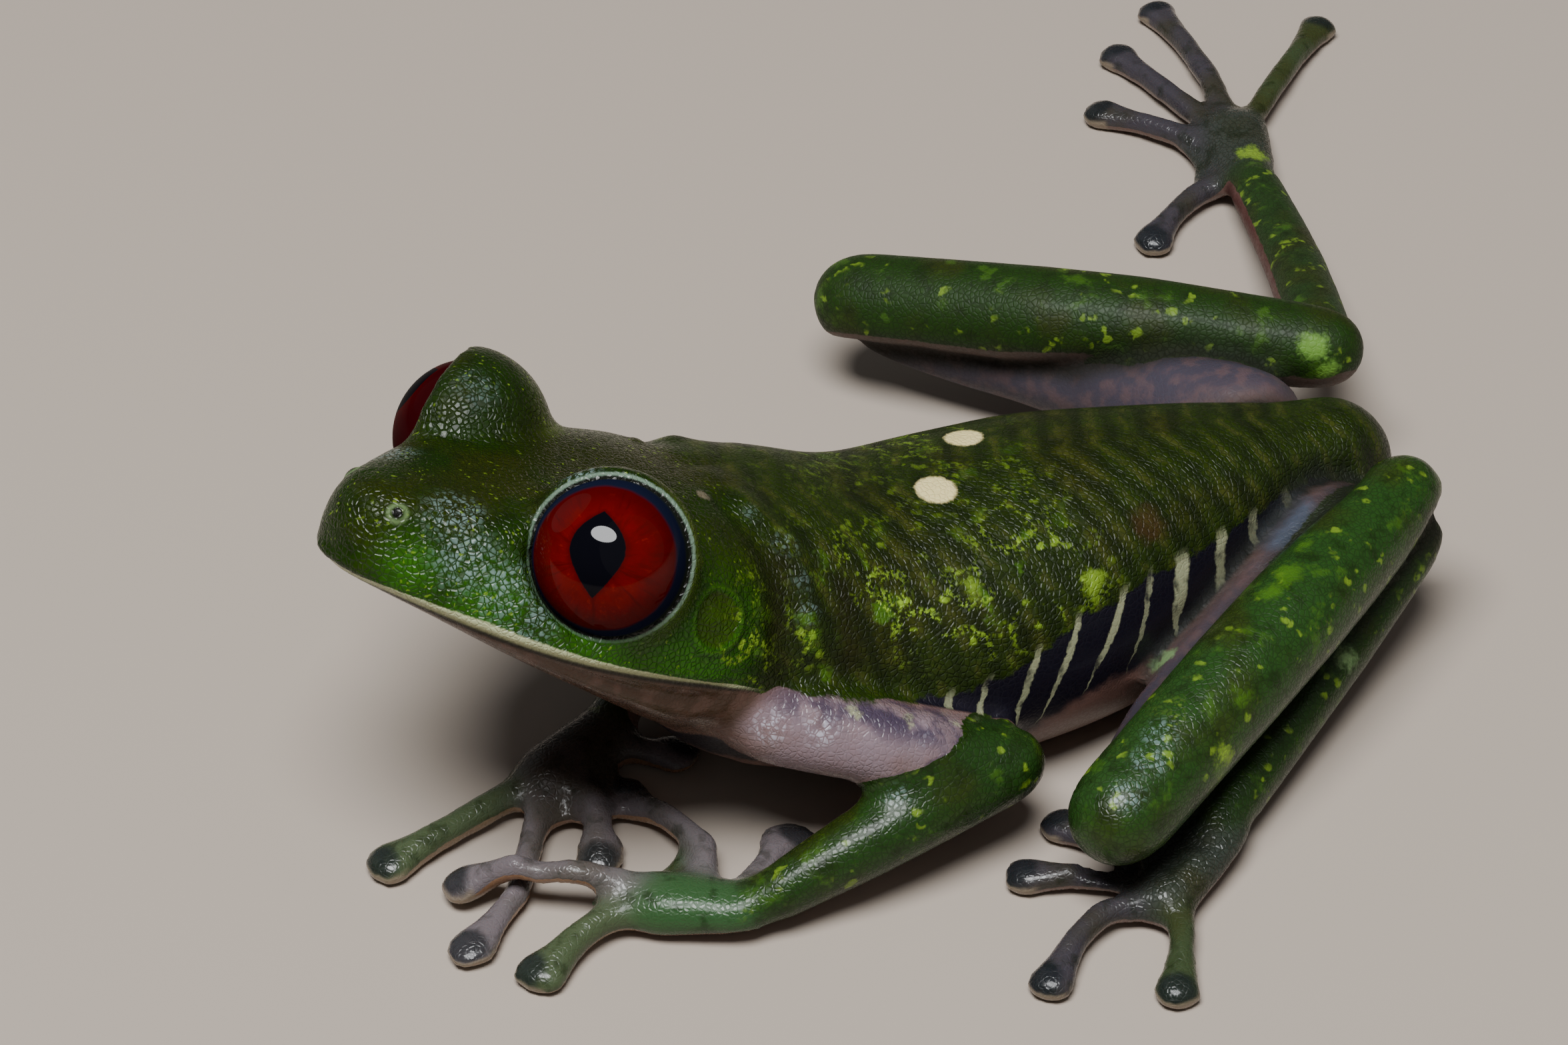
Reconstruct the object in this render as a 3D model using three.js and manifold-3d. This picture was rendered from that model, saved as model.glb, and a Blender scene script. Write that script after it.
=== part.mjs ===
// A red-eyed tree frog, sitting at rest, at the size of life.
// Millimetres, +Z up. The frog faces -Y, its left side is +X, and it sits on the floor, z = 0.
import * as THREE from 'three';
import { mergeVertices } from 'three/addons/utils/BufferGeometryUtils.js';
import Module from 'manifold-3d';

const wasm = await Module();
wasm.setup();

// Driving dimensions.
const gap = 0.3; // clear space between neighbouring pieces
const eye = { radius: 3.75, out: 6.4, forward: 33, up: 14, rimAngle: 71, lid: 0.6, sides: 16, rows: 10 };
const ear = { across: 2.6, thick: 0.8, sides: 14, centre: [8.35, 5.5, -2.0], normal: [0.93, 0.12, 0.3] };
const neck = 8.4; // how far behind the eyes the head ends
const headPose = { eyes: [-1.5, -17.6, 18.7], turn: 3.5, lift: 26, roll: 8 };
const finger = { girth: 0.8, pad: 1.4, depth: 0.7 };
const toe = { girth: 0.66, pad: 1.15, depth: 0.65 };
const headShape = { sides: 18, rings: 11, caps: 3, square: 2.3, ends: [0.5, 0.5] };
const trunkShape = { sides: 18, rings: 12, caps: 3, square: 2.5, ends: [0.5, 1] };
const digitShape = { sides: 8, rings: 4, caps: 2, ends: [1, 0.9] };
const web = { low: 0.3, high: 0.85, reach: 0.45 };

// Half width, height above the spine and depth below it, from front to back.
const headForm = [
  { at: [0, -9.2, -3.0], wide: 2.6, top: 3.1, low: 1.2 },
  { at: [0, -7.8, -3.3], wide: 4.3, top: 4.0, low: 1.7 },
  { at: [0, -4.6, -3.8], wide: 7.0, top: 4.9, low: 2.3 },
  { at: [0, -1.2, -4.3], wide: 8.7, top: 5.9, low: 2.8 },
  { at: [0, 3.0, -4.7], wide: 9.1, top: 6.9, low: 3.7 },
  { at: [0, 8.0, -5.0], wide: 8.8, top: 7.1, low: 5.0 },
  { at: [0, 12.0, -5.3], wide: 7.9, top: 6.8, low: 5.4 },
];
const trunkForm = [
  { at: [-1.9, -12.4, 10.6], wide: 7.2, top: 7.2, low: 4.6 },
  { at: [-1.0, -8.6, 8.0], wide: 7.8, top: 8.3, low: 5.2 },
  { at: [-0.4, -3.6, 5.9], wide: 7.9, top: 7.9, low: 4.9 },
  { at: [0, 2.4, 4.9], wide: 8.6, top: 8.1, low: 4.9 },
  { at: [0, 8.6, 4.7], wide: 8.2, top: 7.9, low: 4.8 },
  { at: [0, 14.4, 4.8], wide: 6.3, top: 7.1, low: 4.95 },
  { at: [0, 19.6, 5.4], wide: 4.6, top: 5.8, low: 4.7 },
  { at: [0, 24.0, 6.5], wide: 2.9, top: 3.6, low: 3.6 },
];

// Joints of the limbs, and the run of each digit from its root to the middle of its pad.
const pose = {
  left: {
    arm: [[6.4, -9.8, 8.4], [9.4, -4.4, 6.6], [10.6, 0.4, 4.8]],
    forearm: [[10.8, 0.6, 4.7], [11.4, -6.2, 3.6], [11.4, -12.6, 1.7]],
    palm: [[11.3, -13.4, 1.5], [8.8, -16.8, 1.2]],
    fingers: [
      [[10.0, -13.2, 1.1], [8.5, -11.0, 1], [6.8, -9.3, 0.5]],
      [[9.3, -14.6, 1.1], [6.4, -13.2, 1.3], [3.4, -13.9, 1.1], [0.9, -15.2, 0.5]],
      [[8.2, -16.6, 1.5], [6.4, -20.0, 2.5], [4.8, -22.2, 2.6], [3.2, -24.2, 0.75]],
      [[8.9, -16.8, 1.1], [8.6, -20.0, 1.1], [10.2, -23.4, 0.5]],
    ],
    thigh: [[4.4, 21.2, 6.2], [9.7, 12.2, 4.3], [15.8, 4.0, 4.5]],
    shank: [[16.7, 3.4, 5.1], [11.7, 13.9, 7.5], [5.5, 25.0, 8.2]],
    tarsus: [[6.2, 25.4, 6.4], [8.6, 21.0, 4.1], [12.5, 14.6, 2.6], [16.0, 9.2, 1.7]],
    foot: [[16.5, 9.2, 1.6], [18.5, 4.8, 1.1]],
    toes: [
      [[16.3, 7.4, 0.9], [14.4, 7.0, 0.9], [12.5, 6.7, 0.5]],
      [[16.9, 5.8, 0.9], [14.4, 4.2, 0.9], [11.8, 3.0, 0.5]],
      [[17.6, 4.6, 0.9], [15.9, 2.4, 0.9], [14.2, -0.2, 0.5]],
      [[18.5, 4.2, 1], [18.7, 0.8, 1], [21.2, -2.4, 0.5]],
      [[19.0, 5.2, 1], [21.4, 4.4, 1], [24.2, 2.6, 0.5]],
    ],
  },
  right: {
    arm: [[-6.6, -11.2, 8.6], [-9.6, -6.2, 6.9], [-11.3, -2.6, 5.0]],
    forearm: [[-11.4, -2.6, 4.8], [-8.4, -8.4, 3.6], [-3.8, -13.2, 1.7]],
    palm: [[-3.4, -13.9, 1.5], [-1.5, -18.0, 1.2]],
    fingers: [
      [[-2.6, -15.0, 1], [-1.6, -13.2, 0.9], [-0.8, -11.4, 0.5]],
      [[-1.0, -17.2, 1.1], [1.5, -16.7, 1.3], [4.0, -17.6, 0.5]],
      [[-0.9, -18.4, 1], [2.4, -20.6, 0.8], [4.9, -22.3, 0.75], [7.1, -25.5, 0.5]],
      [[-1.9, -18.0, 1], [-0.7, -22.3, 1], [0.1, -26.9, 0.5]],
    ],
    thigh: [[-4.6, 22.0, 6.2], [-16.2, 17.2, 3.9], [-22.8, 10.2, 4.6]],
    shank: [[-23.4, 9.6, 5.5], [-14.5, 18.4, 7.3], [-7.4, 28.0, 7.2]],
    tarsus: [[-8.4, 28.6, 6.2], [-16.5, 31.9, 4.0], [-22.0, 33.7, 2.8], [-27.4, 35.2, 1.9]],
    foot: [[-27.6, 35.3, 1.7], [-33.0, 37.2, 1.1]],
    toes: [
      [[-29.4, 34.9, 0.9], [-28.6, 31.6, 0.9], [-26.8, 28.8, 0.5]],
      [[-31.4, 35.9, 0.9], [-35.2, 33.9, 0.9], [-38.4, 31.8, 0.5]],
      [[-33.2, 36.5, 0.9], [-38.0, 35.8, 0.9], [-42.8, 35.2, 0.5]],
      [[-33.8, 37.4, 1], [-39.5, 38.7, 1], [-45.6, 39.2, 0.5]],
      [[-33.2, 38.2, 1], [-36.6, 42.2, 1], [-40.2, 46.6, 0.5]],
    ],
  },
};

// Half widths of each limb from its upper joint to its lower one, and how much flatter it is than wide.
const girth = {
  arm: { sizes: [2.3, 1.9, 1.7], flat: 1 },
  forearm: { sizes: [1.85, 1.75, 1.2], flat: 1 },
  palm: { sizes: [1.3, 1.8], flat: 0.7 },
  thigh: { sizes: [3.1, 2.6, 2.2], flat: 0.95 },
  shank: { sizes: [2.5, 2.6, 2.1], flat: 0.97 },
  tarsus: { sizes: [1.7, 1.6, 1.5, 1.4], flat: 0.9 },
  foot: { sizes: [1.4, 1.9], flat: 0.6 },
};

const colours = { green: 0x2f5a1c, flank: 0x3a3c66, eye: 0x8e1212, digit: 0x8a7f78 };

const vector = (point) => new THREE.Vector3(...point);

// A closed body along a smooth spine: a capsule bent to the curve, with its section set by the stations.
function flesh(form, { sides = 10, rings = 5, caps = 3, square = 2, ends = [1, 1], grow = 0 } = {}) {
  const spine = new THREE.CatmullRomCurve3(form.map((station) => vector(station.at)));
  const spans = form.map(({ wide, top, low }) => new THREE.Vector3(wide, top, low));
  const sizes = new THREE.CatmullRomCurve3(spans);
  const shape = new THREE.CapsuleGeometry(1, 1, caps, sides, rings);
  const places = shape.attributes.position;
  for (let i = 0; i < places.count; i += 1) {
    const [x, along, z] = [places.getX(i), places.getY(i), places.getZ(i)];
    const t = THREE.MathUtils.clamp(along + 0.5, 0, 1);
    const beyond = along + 0.5 - t;
    const size = sizes.getPoint(t).addScalar(grow);
    const ahead = spine.getTangent(t);
    const across = new THREE.Vector3().crossVectors(ahead, new THREE.Vector3(0, 0, 1)).normalize();
    const above = new THREE.Vector3().crossVectors(across, ahead);
    const round = Math.hypot(x, z);
    const swell = round > 0 ? round / (Math.abs(x) ** square + Math.abs(z) ** square) ** (1 / square) : 0;
    const blunt = (round ** square + Math.abs(beyond) ** square) ** (-1 / square);
    const endLength = (size.x + size.y + size.z) / 3 * ends[beyond < 0 ? 0 : 1];
    const place = spine.getPoint(t)
      .addScaledVector(ahead, blunt * beyond * endLength)
      .addScaledVector(across, blunt * swell * x * size.x)
      .addScaledVector(above, blunt * swell * z * (z > 0 ? size.y : size.z));
    places.setXYZ(i, place.x, place.y, place.z);
  }
  return shape;
}

// Solid of a closed geometry, moved by a matrix where one is given.
function solid(geometry, matrix = new THREE.Matrix4()) {
  const shape = geometry.clone().applyMatrix4(matrix);
  shape.deleteAttribute('normal');
  shape.deleteAttribute('uv');
  const merged = mergeVertices(shape, 1e-4);
  const corners = merged.index.array;
  const triVerts = [];
  for (let i = 0; i < corners.length; i += 3) {
    const [a, b, c] = corners.slice(i, i + 3);
    if (a !== b && b !== c && c !== a) {
      triVerts.push(a, b, c);
    }
  }
  const vertProperties = new Float32Array(merged.attributes.position.array);
  const skin = new wasm.Mesh({ numProp: 3, vertProperties, triVerts: new Uint32Array(triVerts) });
  return new wasm.Manifold(skin);
}

// The biggest of the pieces that a cut leaves.
function biggest(body) {
  const pieces = body.decompose();
  return pieces.reduce((best, piece) => (piece.volume() > best.volume() ? piece : best));
}

const room = 400; // bigger than the frog each way
const aboveFloor = solid(new THREE.BoxGeometry(room, room, room).translate(0, 0, room / 2));

function mesh(name, body, colour) {
  const { vertProperties, triVerts } = body.getMesh();
  const geometry = new THREE.BufferGeometry();
  geometry.setAttribute('position', new THREE.BufferAttribute(vertProperties, 3));
  geometry.setIndex(new THREE.BufferAttribute(triVerts, 1));
  geometry.computeVertexNormals();
  const material = new THREE.MeshStandardMaterial({ color: colour, roughness: 0.35, metalness: 0 });
  const piece = new THREE.Mesh(geometry, material);
  piece.name = name;
  return piece;
}

// Head, in its own frame: the middle between the eyes is its origin.
function eyeAxis(side) {
  const [forward, up] = [eye.forward, eye.up].map(THREE.MathUtils.degToRad);
  const level = new THREE.Vector3(side * Math.cos(forward), -Math.sin(forward), 0);
  return level.multiplyScalar(Math.cos(up)).setZ(Math.sin(up));
}

function ball(radius) {
  return new THREE.SphereGeometry(radius, eye.sides, eye.rows);
}

function lid(side) {
  const centre = new THREE.Vector3(side * eye.out, 0, 0);
  const axis = eyeAxis(side);
  const turn = new THREE.Quaternion().setFromUnitVectors(new THREE.Vector3(0, 0, 1), axis);
  const rim = eye.radius * Math.cos(THREE.MathUtils.degToRad(eye.rimAngle));
  const place = new THREE.Matrix4().compose(centre, turn, new THREE.Vector3(1, 1, 1));
  const open = new THREE.BoxGeometry(room, room, room).translate(0, 0, rim + room / 2);
  return solid(ball(eye.radius + eye.lid), place).subtract(solid(open, place));
}

function eyeBall(side, grow) {
  return solid(ball(eye.radius + grow).translate(side * eye.out, 0, 0));
}

function eardrum(side, grow) {
  const centre = vector(ear.centre).multiply(new THREE.Vector3(side, 1, 1));
  const normal = vector(ear.normal).multiply(new THREE.Vector3(side, 1, 1)).normalize();
  const turn = new THREE.Quaternion().setFromUnitVectors(new THREE.Vector3(0, 1, 0), normal);
  const place = new THREE.Matrix4().compose(centre, turn, new THREE.Vector3(1, 1, 1));
  const round = ear.across / 2 + grow;
  return solid(new THREE.CylinderGeometry(round, round, ear.thick + 2 * grow, ear.sides), place);
}

const headMatrix = new THREE.Matrix4().compose(
  vector(headPose.eyes),
  new THREE.Quaternion().setFromEuler(new THREE.Euler(
    -THREE.MathUtils.degToRad(headPose.lift),
    -THREE.MathUtils.degToRad(headPose.roll),
    THREE.MathUtils.degToRad(headPose.turn),
    'ZXY',
  )),
  new THREE.Vector3(1, 1, 1),
);
const beforeNeck = new THREE.BoxGeometry(room, room, room).translate(0, neck - room / 2, 0);
const behindNeck = new THREE.BoxGeometry(room, room, room).translate(0, neck + gap + room / 2, 0);

function headBody() {
  let head = solid(flesh(headForm, { ...headShape }));
  for (const side of [1, -1]) {
    head = head.add(lid(side));
  }
  for (const side of [1, -1]) {
    head = head.subtract(eyeBall(side, gap / 2)).subtract(eardrum(side, gap / 2));
  }
  return biggest(head.intersect(solid(beforeNeck)));
}

// Stations of a limb between two joints, from its run and the half widths above.
function limbForm(part, run) {
  const { sizes, flat } = girth[part];
  return run.map((point, i) => ({ at: point, wide: sizes[i], top: sizes[i] * flat, low: sizes[i] * flat }));
}

// Stations of a digit: slender as far as its last joint, then widening to a round pad.
function digitForm(run, { girth: thick, pad, depth }) {
  const tip = vector(run.at(-1));
  const last = vector(run.at(-2));
  const beforePad = tip.clone().lerp(last, Math.min(1.25 * pad / tip.distanceTo(last), 0.7));
  const slender = [...run.slice(0, -1), beforePad.toArray()];
  const stations = slender.map((point) => ({ at: point, wide: thick, top: thick, low: thick }));
  return [...stations, { at: run.at(-1), wide: pad, top: depth, low: depth }];
}

// A thin web between neighbouring digits, from the root to part of the way along each.
function webBetween(runs, grown) {
  const along = runs.map((run) => new THREE.CatmullRomCurve3(run.map(vector)));
  const outline = new THREE.Shape();
  const root = along[0].getPoint(0);
  outline.moveTo(root.x, root.y);
  along.forEach((curve, i) => {
    const end = curve.getPoint(web.reach);
    if (i === 0) {
      outline.lineTo(end.x, end.y);
      return;
    }
    const dip = curve.getPoint(web.reach / 3).lerp(along[i - 1].getPoint(web.reach / 3), 0.5);
    outline.quadraticCurveTo(dip.x, dip.y, end.x, end.y);
  });
  const close = along.at(-1).getPoint(0);
  outline.lineTo(close.x, close.y);
  const depth = web.high - web.low;
  const sheet = new THREE.ExtrudeGeometry(outline, { depth, bevelEnabled: false, curveSegments: 2 });
  return grown.reduce((body, digit) => body.subtract(digit), solid(sheet.translate(0, 0, web.low)));
}

const frog = new THREE.Group();
const headGroup = new THREE.Group();
headGroup.applyMatrix4(headMatrix);
frog.add(headGroup);
headGroup.add(mesh('head', headBody(), colours.green));

const trunk = solid(flesh(trunkForm, trunkShape)).intersect(solid(behindNeck, headMatrix));
frog.add(mesh('trunk', biggest(trunk.intersect(aboveFloor)), colours.green));
const nearTrunk = solid(flesh(trunkForm, { ...trunkShape, grow: gap }));
const nearHead = solid(flesh(headForm, { ...headShape, grow: gap }), headMatrix);

for (const [name, sign] of [['left', 1], ['right', -1]]) {
  headGroup.add(mesh(`eye_${name}`, eyeBall(sign, 0), colours.eye));
  headGroup.add(mesh(`tympanum_${name}`, eardrum(sign, 0), colours.green));

  const side = pose[name];
  const part = (key, grow, shape) => solid(flesh(limbForm(key, side[key]), { ...shape, grow }));
  const cut = (body, ...neighbours) => {
    const left = neighbours.reduce((rest, neighbour) => rest.subtract(neighbour), body);
    return biggest(left.intersect(aboveFloor));
  };

  const forearmNear = part('forearm', gap);
  frog.add(mesh(`upper_arm_${name}`, cut(part('arm', 0), nearTrunk, nearHead, forearmNear), colours.green));
  frog.add(mesh(`forearm_${name}`, cut(part('forearm', 0), nearTrunk), colours.green));

  const thighNear = part('thigh', gap);
  const shankNear = part('shank', gap);
  const tarsusNear = part('tarsus', gap);
  frog.add(mesh(`thigh_${name}`, cut(part('thigh', 0), nearTrunk, shankNear), colours.flank));
  frog.add(mesh(`shank_${name}`, cut(part('shank', 0), nearTrunk), colours.green));
  frog.add(mesh(`tarsus_${name}`, cut(part('tarsus', 0), shankNear, thighNear, nearTrunk), colours.green));

  const extremities = [
    { flat: 'palm', node: 'hand', digits: side.fingers, digit: 'finger', size: finger, above: forearmNear },
    { flat: 'foot', node: 'foot', digits: side.toes, digit: 'toe', size: toe, above: tarsusNear },
  ];
  for (const { flat, node, digits, digit, size, above } of extremities) {
    const flatNear = part(flat, gap, { rings: 3 });
    const grown = digits.map((run) => solid(flesh(digitForm(run, size), { ...digitShape, grow: gap })));
    const palm = part(flat, 0, { rings: 3 });
    const webbed = palm.add(webBetween(digits, grown));
    frog.add(mesh(`${node}_${name}`, cut(webbed, above), colours.digit));
    digits.forEach((run, i) => {
      const body = solid(flesh(digitForm(run, size), digitShape));
      frog.add(mesh(`${digit}_${name}_${i + 1}`, cut(body, flatNear), colours.digit));
    });
  }
}

// The origin is under the middle of the frog, on the floor.
const box = new THREE.Box3().setFromObject(frog, true);
const middle = box.getCenter(new THREE.Vector3());
frog.position.set(-middle.x, -middle.y, 0);

export default frog;
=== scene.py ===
import math
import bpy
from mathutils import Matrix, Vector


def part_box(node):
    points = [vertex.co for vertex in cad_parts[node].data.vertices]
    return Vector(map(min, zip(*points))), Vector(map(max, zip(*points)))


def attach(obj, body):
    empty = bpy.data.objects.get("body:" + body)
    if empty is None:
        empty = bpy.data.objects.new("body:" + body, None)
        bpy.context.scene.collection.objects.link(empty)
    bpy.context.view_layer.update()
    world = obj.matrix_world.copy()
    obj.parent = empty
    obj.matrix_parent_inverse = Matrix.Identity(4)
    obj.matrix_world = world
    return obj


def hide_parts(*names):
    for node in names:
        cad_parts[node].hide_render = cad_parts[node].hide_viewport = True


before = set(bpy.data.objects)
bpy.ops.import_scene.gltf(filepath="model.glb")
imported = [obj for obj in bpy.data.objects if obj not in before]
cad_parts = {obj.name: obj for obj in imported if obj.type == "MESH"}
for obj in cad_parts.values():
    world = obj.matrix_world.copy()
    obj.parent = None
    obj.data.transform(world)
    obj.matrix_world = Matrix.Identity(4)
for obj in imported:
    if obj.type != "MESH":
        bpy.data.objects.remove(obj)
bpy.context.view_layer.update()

from types import SimpleNamespace

import bmesh
import bpy
import numpy as np
from mathutils import Matrix, Vector
from mathutils.bvhtree import BVHTree

mm = 0.001  # shapes are worked out in millimetres and stored in metres
sides = {"left": 1, "right": -1}
fleshNodes = [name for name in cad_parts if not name.startswith("eye_")]


def middle(node):
    low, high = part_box(node)
    return (low + high) / 2


# The head's own axes: x to the frog's left, -y forward, z up, with zero midway between the eyes.
headPose = {"turn": 3.5, "lift": 26, "roll": 8}  # degrees
headTurn = (
    Matrix.Rotation(math.radians(headPose["turn"]), 3, "Z")
    @ Matrix.Rotation(-math.radians(headPose["lift"]), 3, "X")
    @ Matrix.Rotation(-math.radians(headPose["roll"]), 3, "Y")
)
headZero = (middle("eye_left") + middle("eye_right")) / 2


def headToWorld(point):
    return headZero / mm + headTurn @ Vector(point)


# Camera, floor and lights

cameraLook = {
    "azimuth": 65.07,
    "elevation": 40.0,
    "roll": -0.94,
    "distance": 0.28017,
    "lens": 132.14,
    "sensor": 36,
    "nearest": 0.01,
    "target": (0.00482, -0.01272, 0.00846),
}


def placeCamera(look):
    turn, lift, roll = (math.radians(look[key]) for key in ("azimuth", "elevation", "roll"))
    back = Vector((math.sin(turn) * math.cos(lift), -math.cos(turn) * math.cos(lift), math.sin(lift)))
    level = Vector((math.cos(turn), math.sin(turn), 0))
    upright = back.cross(level)
    right = math.cos(roll) * level + math.sin(roll) * upright
    data = bpy.data.cameras.new("studioCamera")
    data.lens = look["lens"]
    data.sensor_width = look["sensor"]
    data.clip_start = look["nearest"]
    camera = bpy.data.objects.new("studioCamera", data)
    axes = Matrix((right, back.cross(right), back)).transposed().to_4x4()
    camera.matrix_world = Matrix.Translation(Vector(look["target"]) + back * look["distance"]) @ axes
    bpy.context.collection.objects.link(camera)
    bpy.context.scene.camera = camera


# A soft panel that points at the middle of the floor.
def placeLight(name, offset, size, power, colour):
    data = bpy.data.lights.new(name, "AREA")
    data.shape = "ELLIPSE"
    data.size, data.size_y = size
    data.energy = power
    data.color = colour
    light = bpy.data.objects.new(name, data)
    light.location = offset
    light.rotation_euler = (-Vector(offset)).to_track_quat("-Z", "Y").to_euler()
    bpy.context.collection.objects.link(light)


studio = {
    "floorHalf": 1.5,
    "floorDrop": 0.00003,
    "floorColour": (0.44, 0.375, 0.315, 1),
    "floorRoughness": 0.7,
    "worldColour": (0.62, 0.64, 0.66, 1),
    "worldStrength": 0.1,
    "lights": [
        # name, place in metres, size, power, colour
        ("keyPanel", (0.13, -0.14, 0.52), (0.34, 0.21), 4.6, (0.98, 0.99, 1.0)),
        ("sidePanel", (0.95, 0.45, 0.9), (3.2, 3.0), 2.6, (1.0, 0.97, 0.93)),
        ("backPanel", (-1.1, -0.5, 0.7), (1.3, 1.1), 0.7, (0.96, 0.98, 1.0)),
    ],
}


def plainMaterial(name, colour, roughness):
    made = bpy.data.materials.new(name)
    made.use_nodes = True
    shader = made.node_tree.nodes["Principled BSDF"]
    shader.inputs["Base Color"].default_value = colour
    shader.inputs["Roughness"].default_value = roughness
    return made


def buildStudio(look):
    world = bpy.data.worlds.new("studioWorld")
    world.use_nodes = True
    world.node_tree.nodes["Background"].inputs["Color"].default_value = look["worldColour"]
    world.node_tree.nodes["Background"].inputs["Strength"].default_value = look["worldStrength"]
    bpy.context.scene.world = world
    bm = bmesh.new()
    bmesh.ops.create_grid(bm, x_segments=1, y_segments=1, size=look["floorHalf"])
    bmesh.ops.translate(bm, vec=(0, 0, -look["floorDrop"]), verts=bm.verts)
    mesh = bpy.data.meshes.new("floor")
    bm.to_mesh(mesh)
    bm.free()
    floor = bpy.data.objects.new("floor", mesh)
    mesh.materials.append(plainMaterial("paleFloor", look["floorColour"], look["floorRoughness"]))
    bpy.context.collection.objects.link(floor)
    for light in look["lights"]:
        placeLight(*light)


placeCamera(cameraLook)
buildStudio(studio)
print("studio ready")


# Skin: the flesh solids grown into each other, closed up into one surface, smoothed and then sculpted

skinForm = {
    "weld": 0.0001,
    "grow": {"trunk": 0.25, "inner": -0.05, "outer": 0.08, "toe": 0.1, "limb": 0.2},
    "pad": {"inner": 1.2, "outer": 0.65, "toe": 0.5},  # how much wider a pad is
    "padOver": 1.0,  # how far from the tip it widens
    "trunkVoxel": 0.8,
    "trunkPasses": 10,
    "voxel": 0.36,
    "crumb": 1000,  # pieces with fewer points are removed
    "passes": {"head": 5, "trunk": 5, "limb": 18, "palm": 14, "digit": 5},  # of smoothing, in each zone
    "morePasses": {"joint": 8, "neck": 40, "fold": 2},
    "neck": (6.5, 12.5),  # along the head, behind the eyes
    "joint": 1.5,  # how much nearer one solid is than the next, around a joint
    "lowest": 0.02,
    "reach": 3.0,  # how far from a solid its zone is felt
    "blend": {"head": 0.5, "trunk": 0.5, "limb": 0.24, "palm": 0.4, "digit": 0.4},  # of colours
    "elbow": (1.25, 0.3),  # how far up the upper arm the forearm's colours begin, and their fade
}
# Folds between the parts of a leg, and between a leg and the trunk, and the painted shade laid in them
foldForm = {
    "depth": 0.6,
    "width": 0.75,
    "shadow": 0.9,  # width of the dark colour in it
    "pressed": 0.1,  # smoothed again where the fold is deeper than this share
    "nearest": 1.8,  # no fold further than this from the nearer solid
    "fade": 0.5,
    "further": 2.6,  # or this from the further one
    "away": 9,
}
tangleForm = {"rounds": 8, "around": 2, "passes": 3}  # how far around a crossing is smoothed, and how often
tipForm = {"points": 8, "inset": 0.6}  # points that make a tip, and how far inside it the pad's middle lies
# Fingers that lie over others are lifted clear while the surface is closed up: how high, where the lift
# begins, which way and over what length it rises, and the hand whose web is drawn back from it
crossing = {
    "finger_left_3": {
        "lift": 1.3,
        "start": (17.0, -29.0),
        "run": (-0.6, -0.8),
        "over": 2.6,
        "web": "hand_left",
    }
}
# Head sections from the snout back: place along the head, height of the spine, half width, height above
# it and depth below it
headSections = [
    (-10.6, -2.9, 1.0, 1.9, 0.8),
    (-10.1, -2.95, 2.0, 2.9, 1.05),
    (-9.2, -3.05, 2.9, 3.5, 1.2),
    (-7.8, -3.3, 4.3, 4.0, 1.3),
    (-6.2, -3.55, 5.75, 4.45, 1.45),
    (-4.6, -3.8, 7.1, 4.9, 1.7),
    (-1.2, -4.3, 8.8, 5.9, 2.3),
    (3.0, -4.7, 9.2, 6.9, 3.4),
    (8.0, -5.0, 8.9, 7.1, 5.0),
    (12.0, -5.3, 7.9, 6.8, 5.4),
]
headForm = {"sides": 28, "square": 2.6, "cap": 0.4, "subdivisions": 2}
lidForm = {"across": 48, "rows": 32, "clear": 0.4}
# Lids: the way they open, how far their rim stands in front of the eye's middle, how thick they are
# over the ball, and how far they are drawn outwards
lidSides = {
    "left": {"forward": 38, "up": 16, "rim": 0.9, "thick": 0.5, "out": 0},
    "right": {"forward": 36, "up": 1, "rim": 1.7, "thick": 0.55, "out": 0.4},
}
eyeSize = (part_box("eye_left")[1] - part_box("eye_left")[0]).z / mm / 2
eyeMiddle = {side: middle(f"eye_{side}") / mm for side in sides}


def sideAxis(side, forward, up):
    forward, up = math.radians(forward), math.radians(up)
    level = Vector((sides[side] * math.cos(forward), -math.sin(forward), 0)) * math.cos(up)
    return (headTurn @ (level + Vector((0, 0, math.sin(up))))).normalized()


lidAxis = {side: sideAxis(side, look["forward"], look["up"]) for side, look in lidSides.items()}


# How high the points of a finger that lies over others are lifted.
def liftOf(name, points):
    look = crossing.get(name)
    if look is None:
        return np.zeros(len(points))
    share = np.clip((points[:, :2] - np.array(look["start"])) @ np.array(look["run"]) / look["over"], 0, 1)
    return look["lift"] * share * share * (3 - 2 * share)


# Draws the web of a hand back to where a lifted finger leaves it.
def drawWebBack(name, bm):
    for look in crossing.values():
        if look["web"] == name:
            run = Vector((*look["run"], 0))
            for vert in bm.verts:
                beyond = (vert.co - Vector((*look["start"], 0))).dot(run)
                vert.co -= run * max(beyond, 0)


def nodeShape(name, lifted):
    bm = bmesh.new()
    bm.from_mesh(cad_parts[name].data)
    bmesh.ops.scale(bm, vec=(1 / mm,) * 3, verts=bm.verts)
    if lifted:
        for vert, height in zip(bm.verts, liftOf(name, np.array([vert.co for vert in bm.verts]))):
            vert.co.z += height
    return bm


# The middle of the pad of a finger or toe: a little inside its points that are furthest from the palm.
def fingertip(name):
    palm = middle(("hand" if name.startswith("finger") else "foot") + "_" + name.split("_")[1]) / mm
    ranked = sorted(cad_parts[name].data.vertices, key=lambda vert: (vert.co / mm - palm).length)
    tips = ranked[-tipForm["points"] :]
    tip = sum((vert.co / mm for vert in tips), Vector()) / len(tips)
    return tip + (palm - tip).normalized() * tipForm["inset"]


def growKind(name):
    if name.startswith("finger"):
        return "outer" if name.endswith("4") else "inner"
    return "toe" if name.startswith("toe") else "trunk" if name == "trunk" else "limb"


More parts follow.
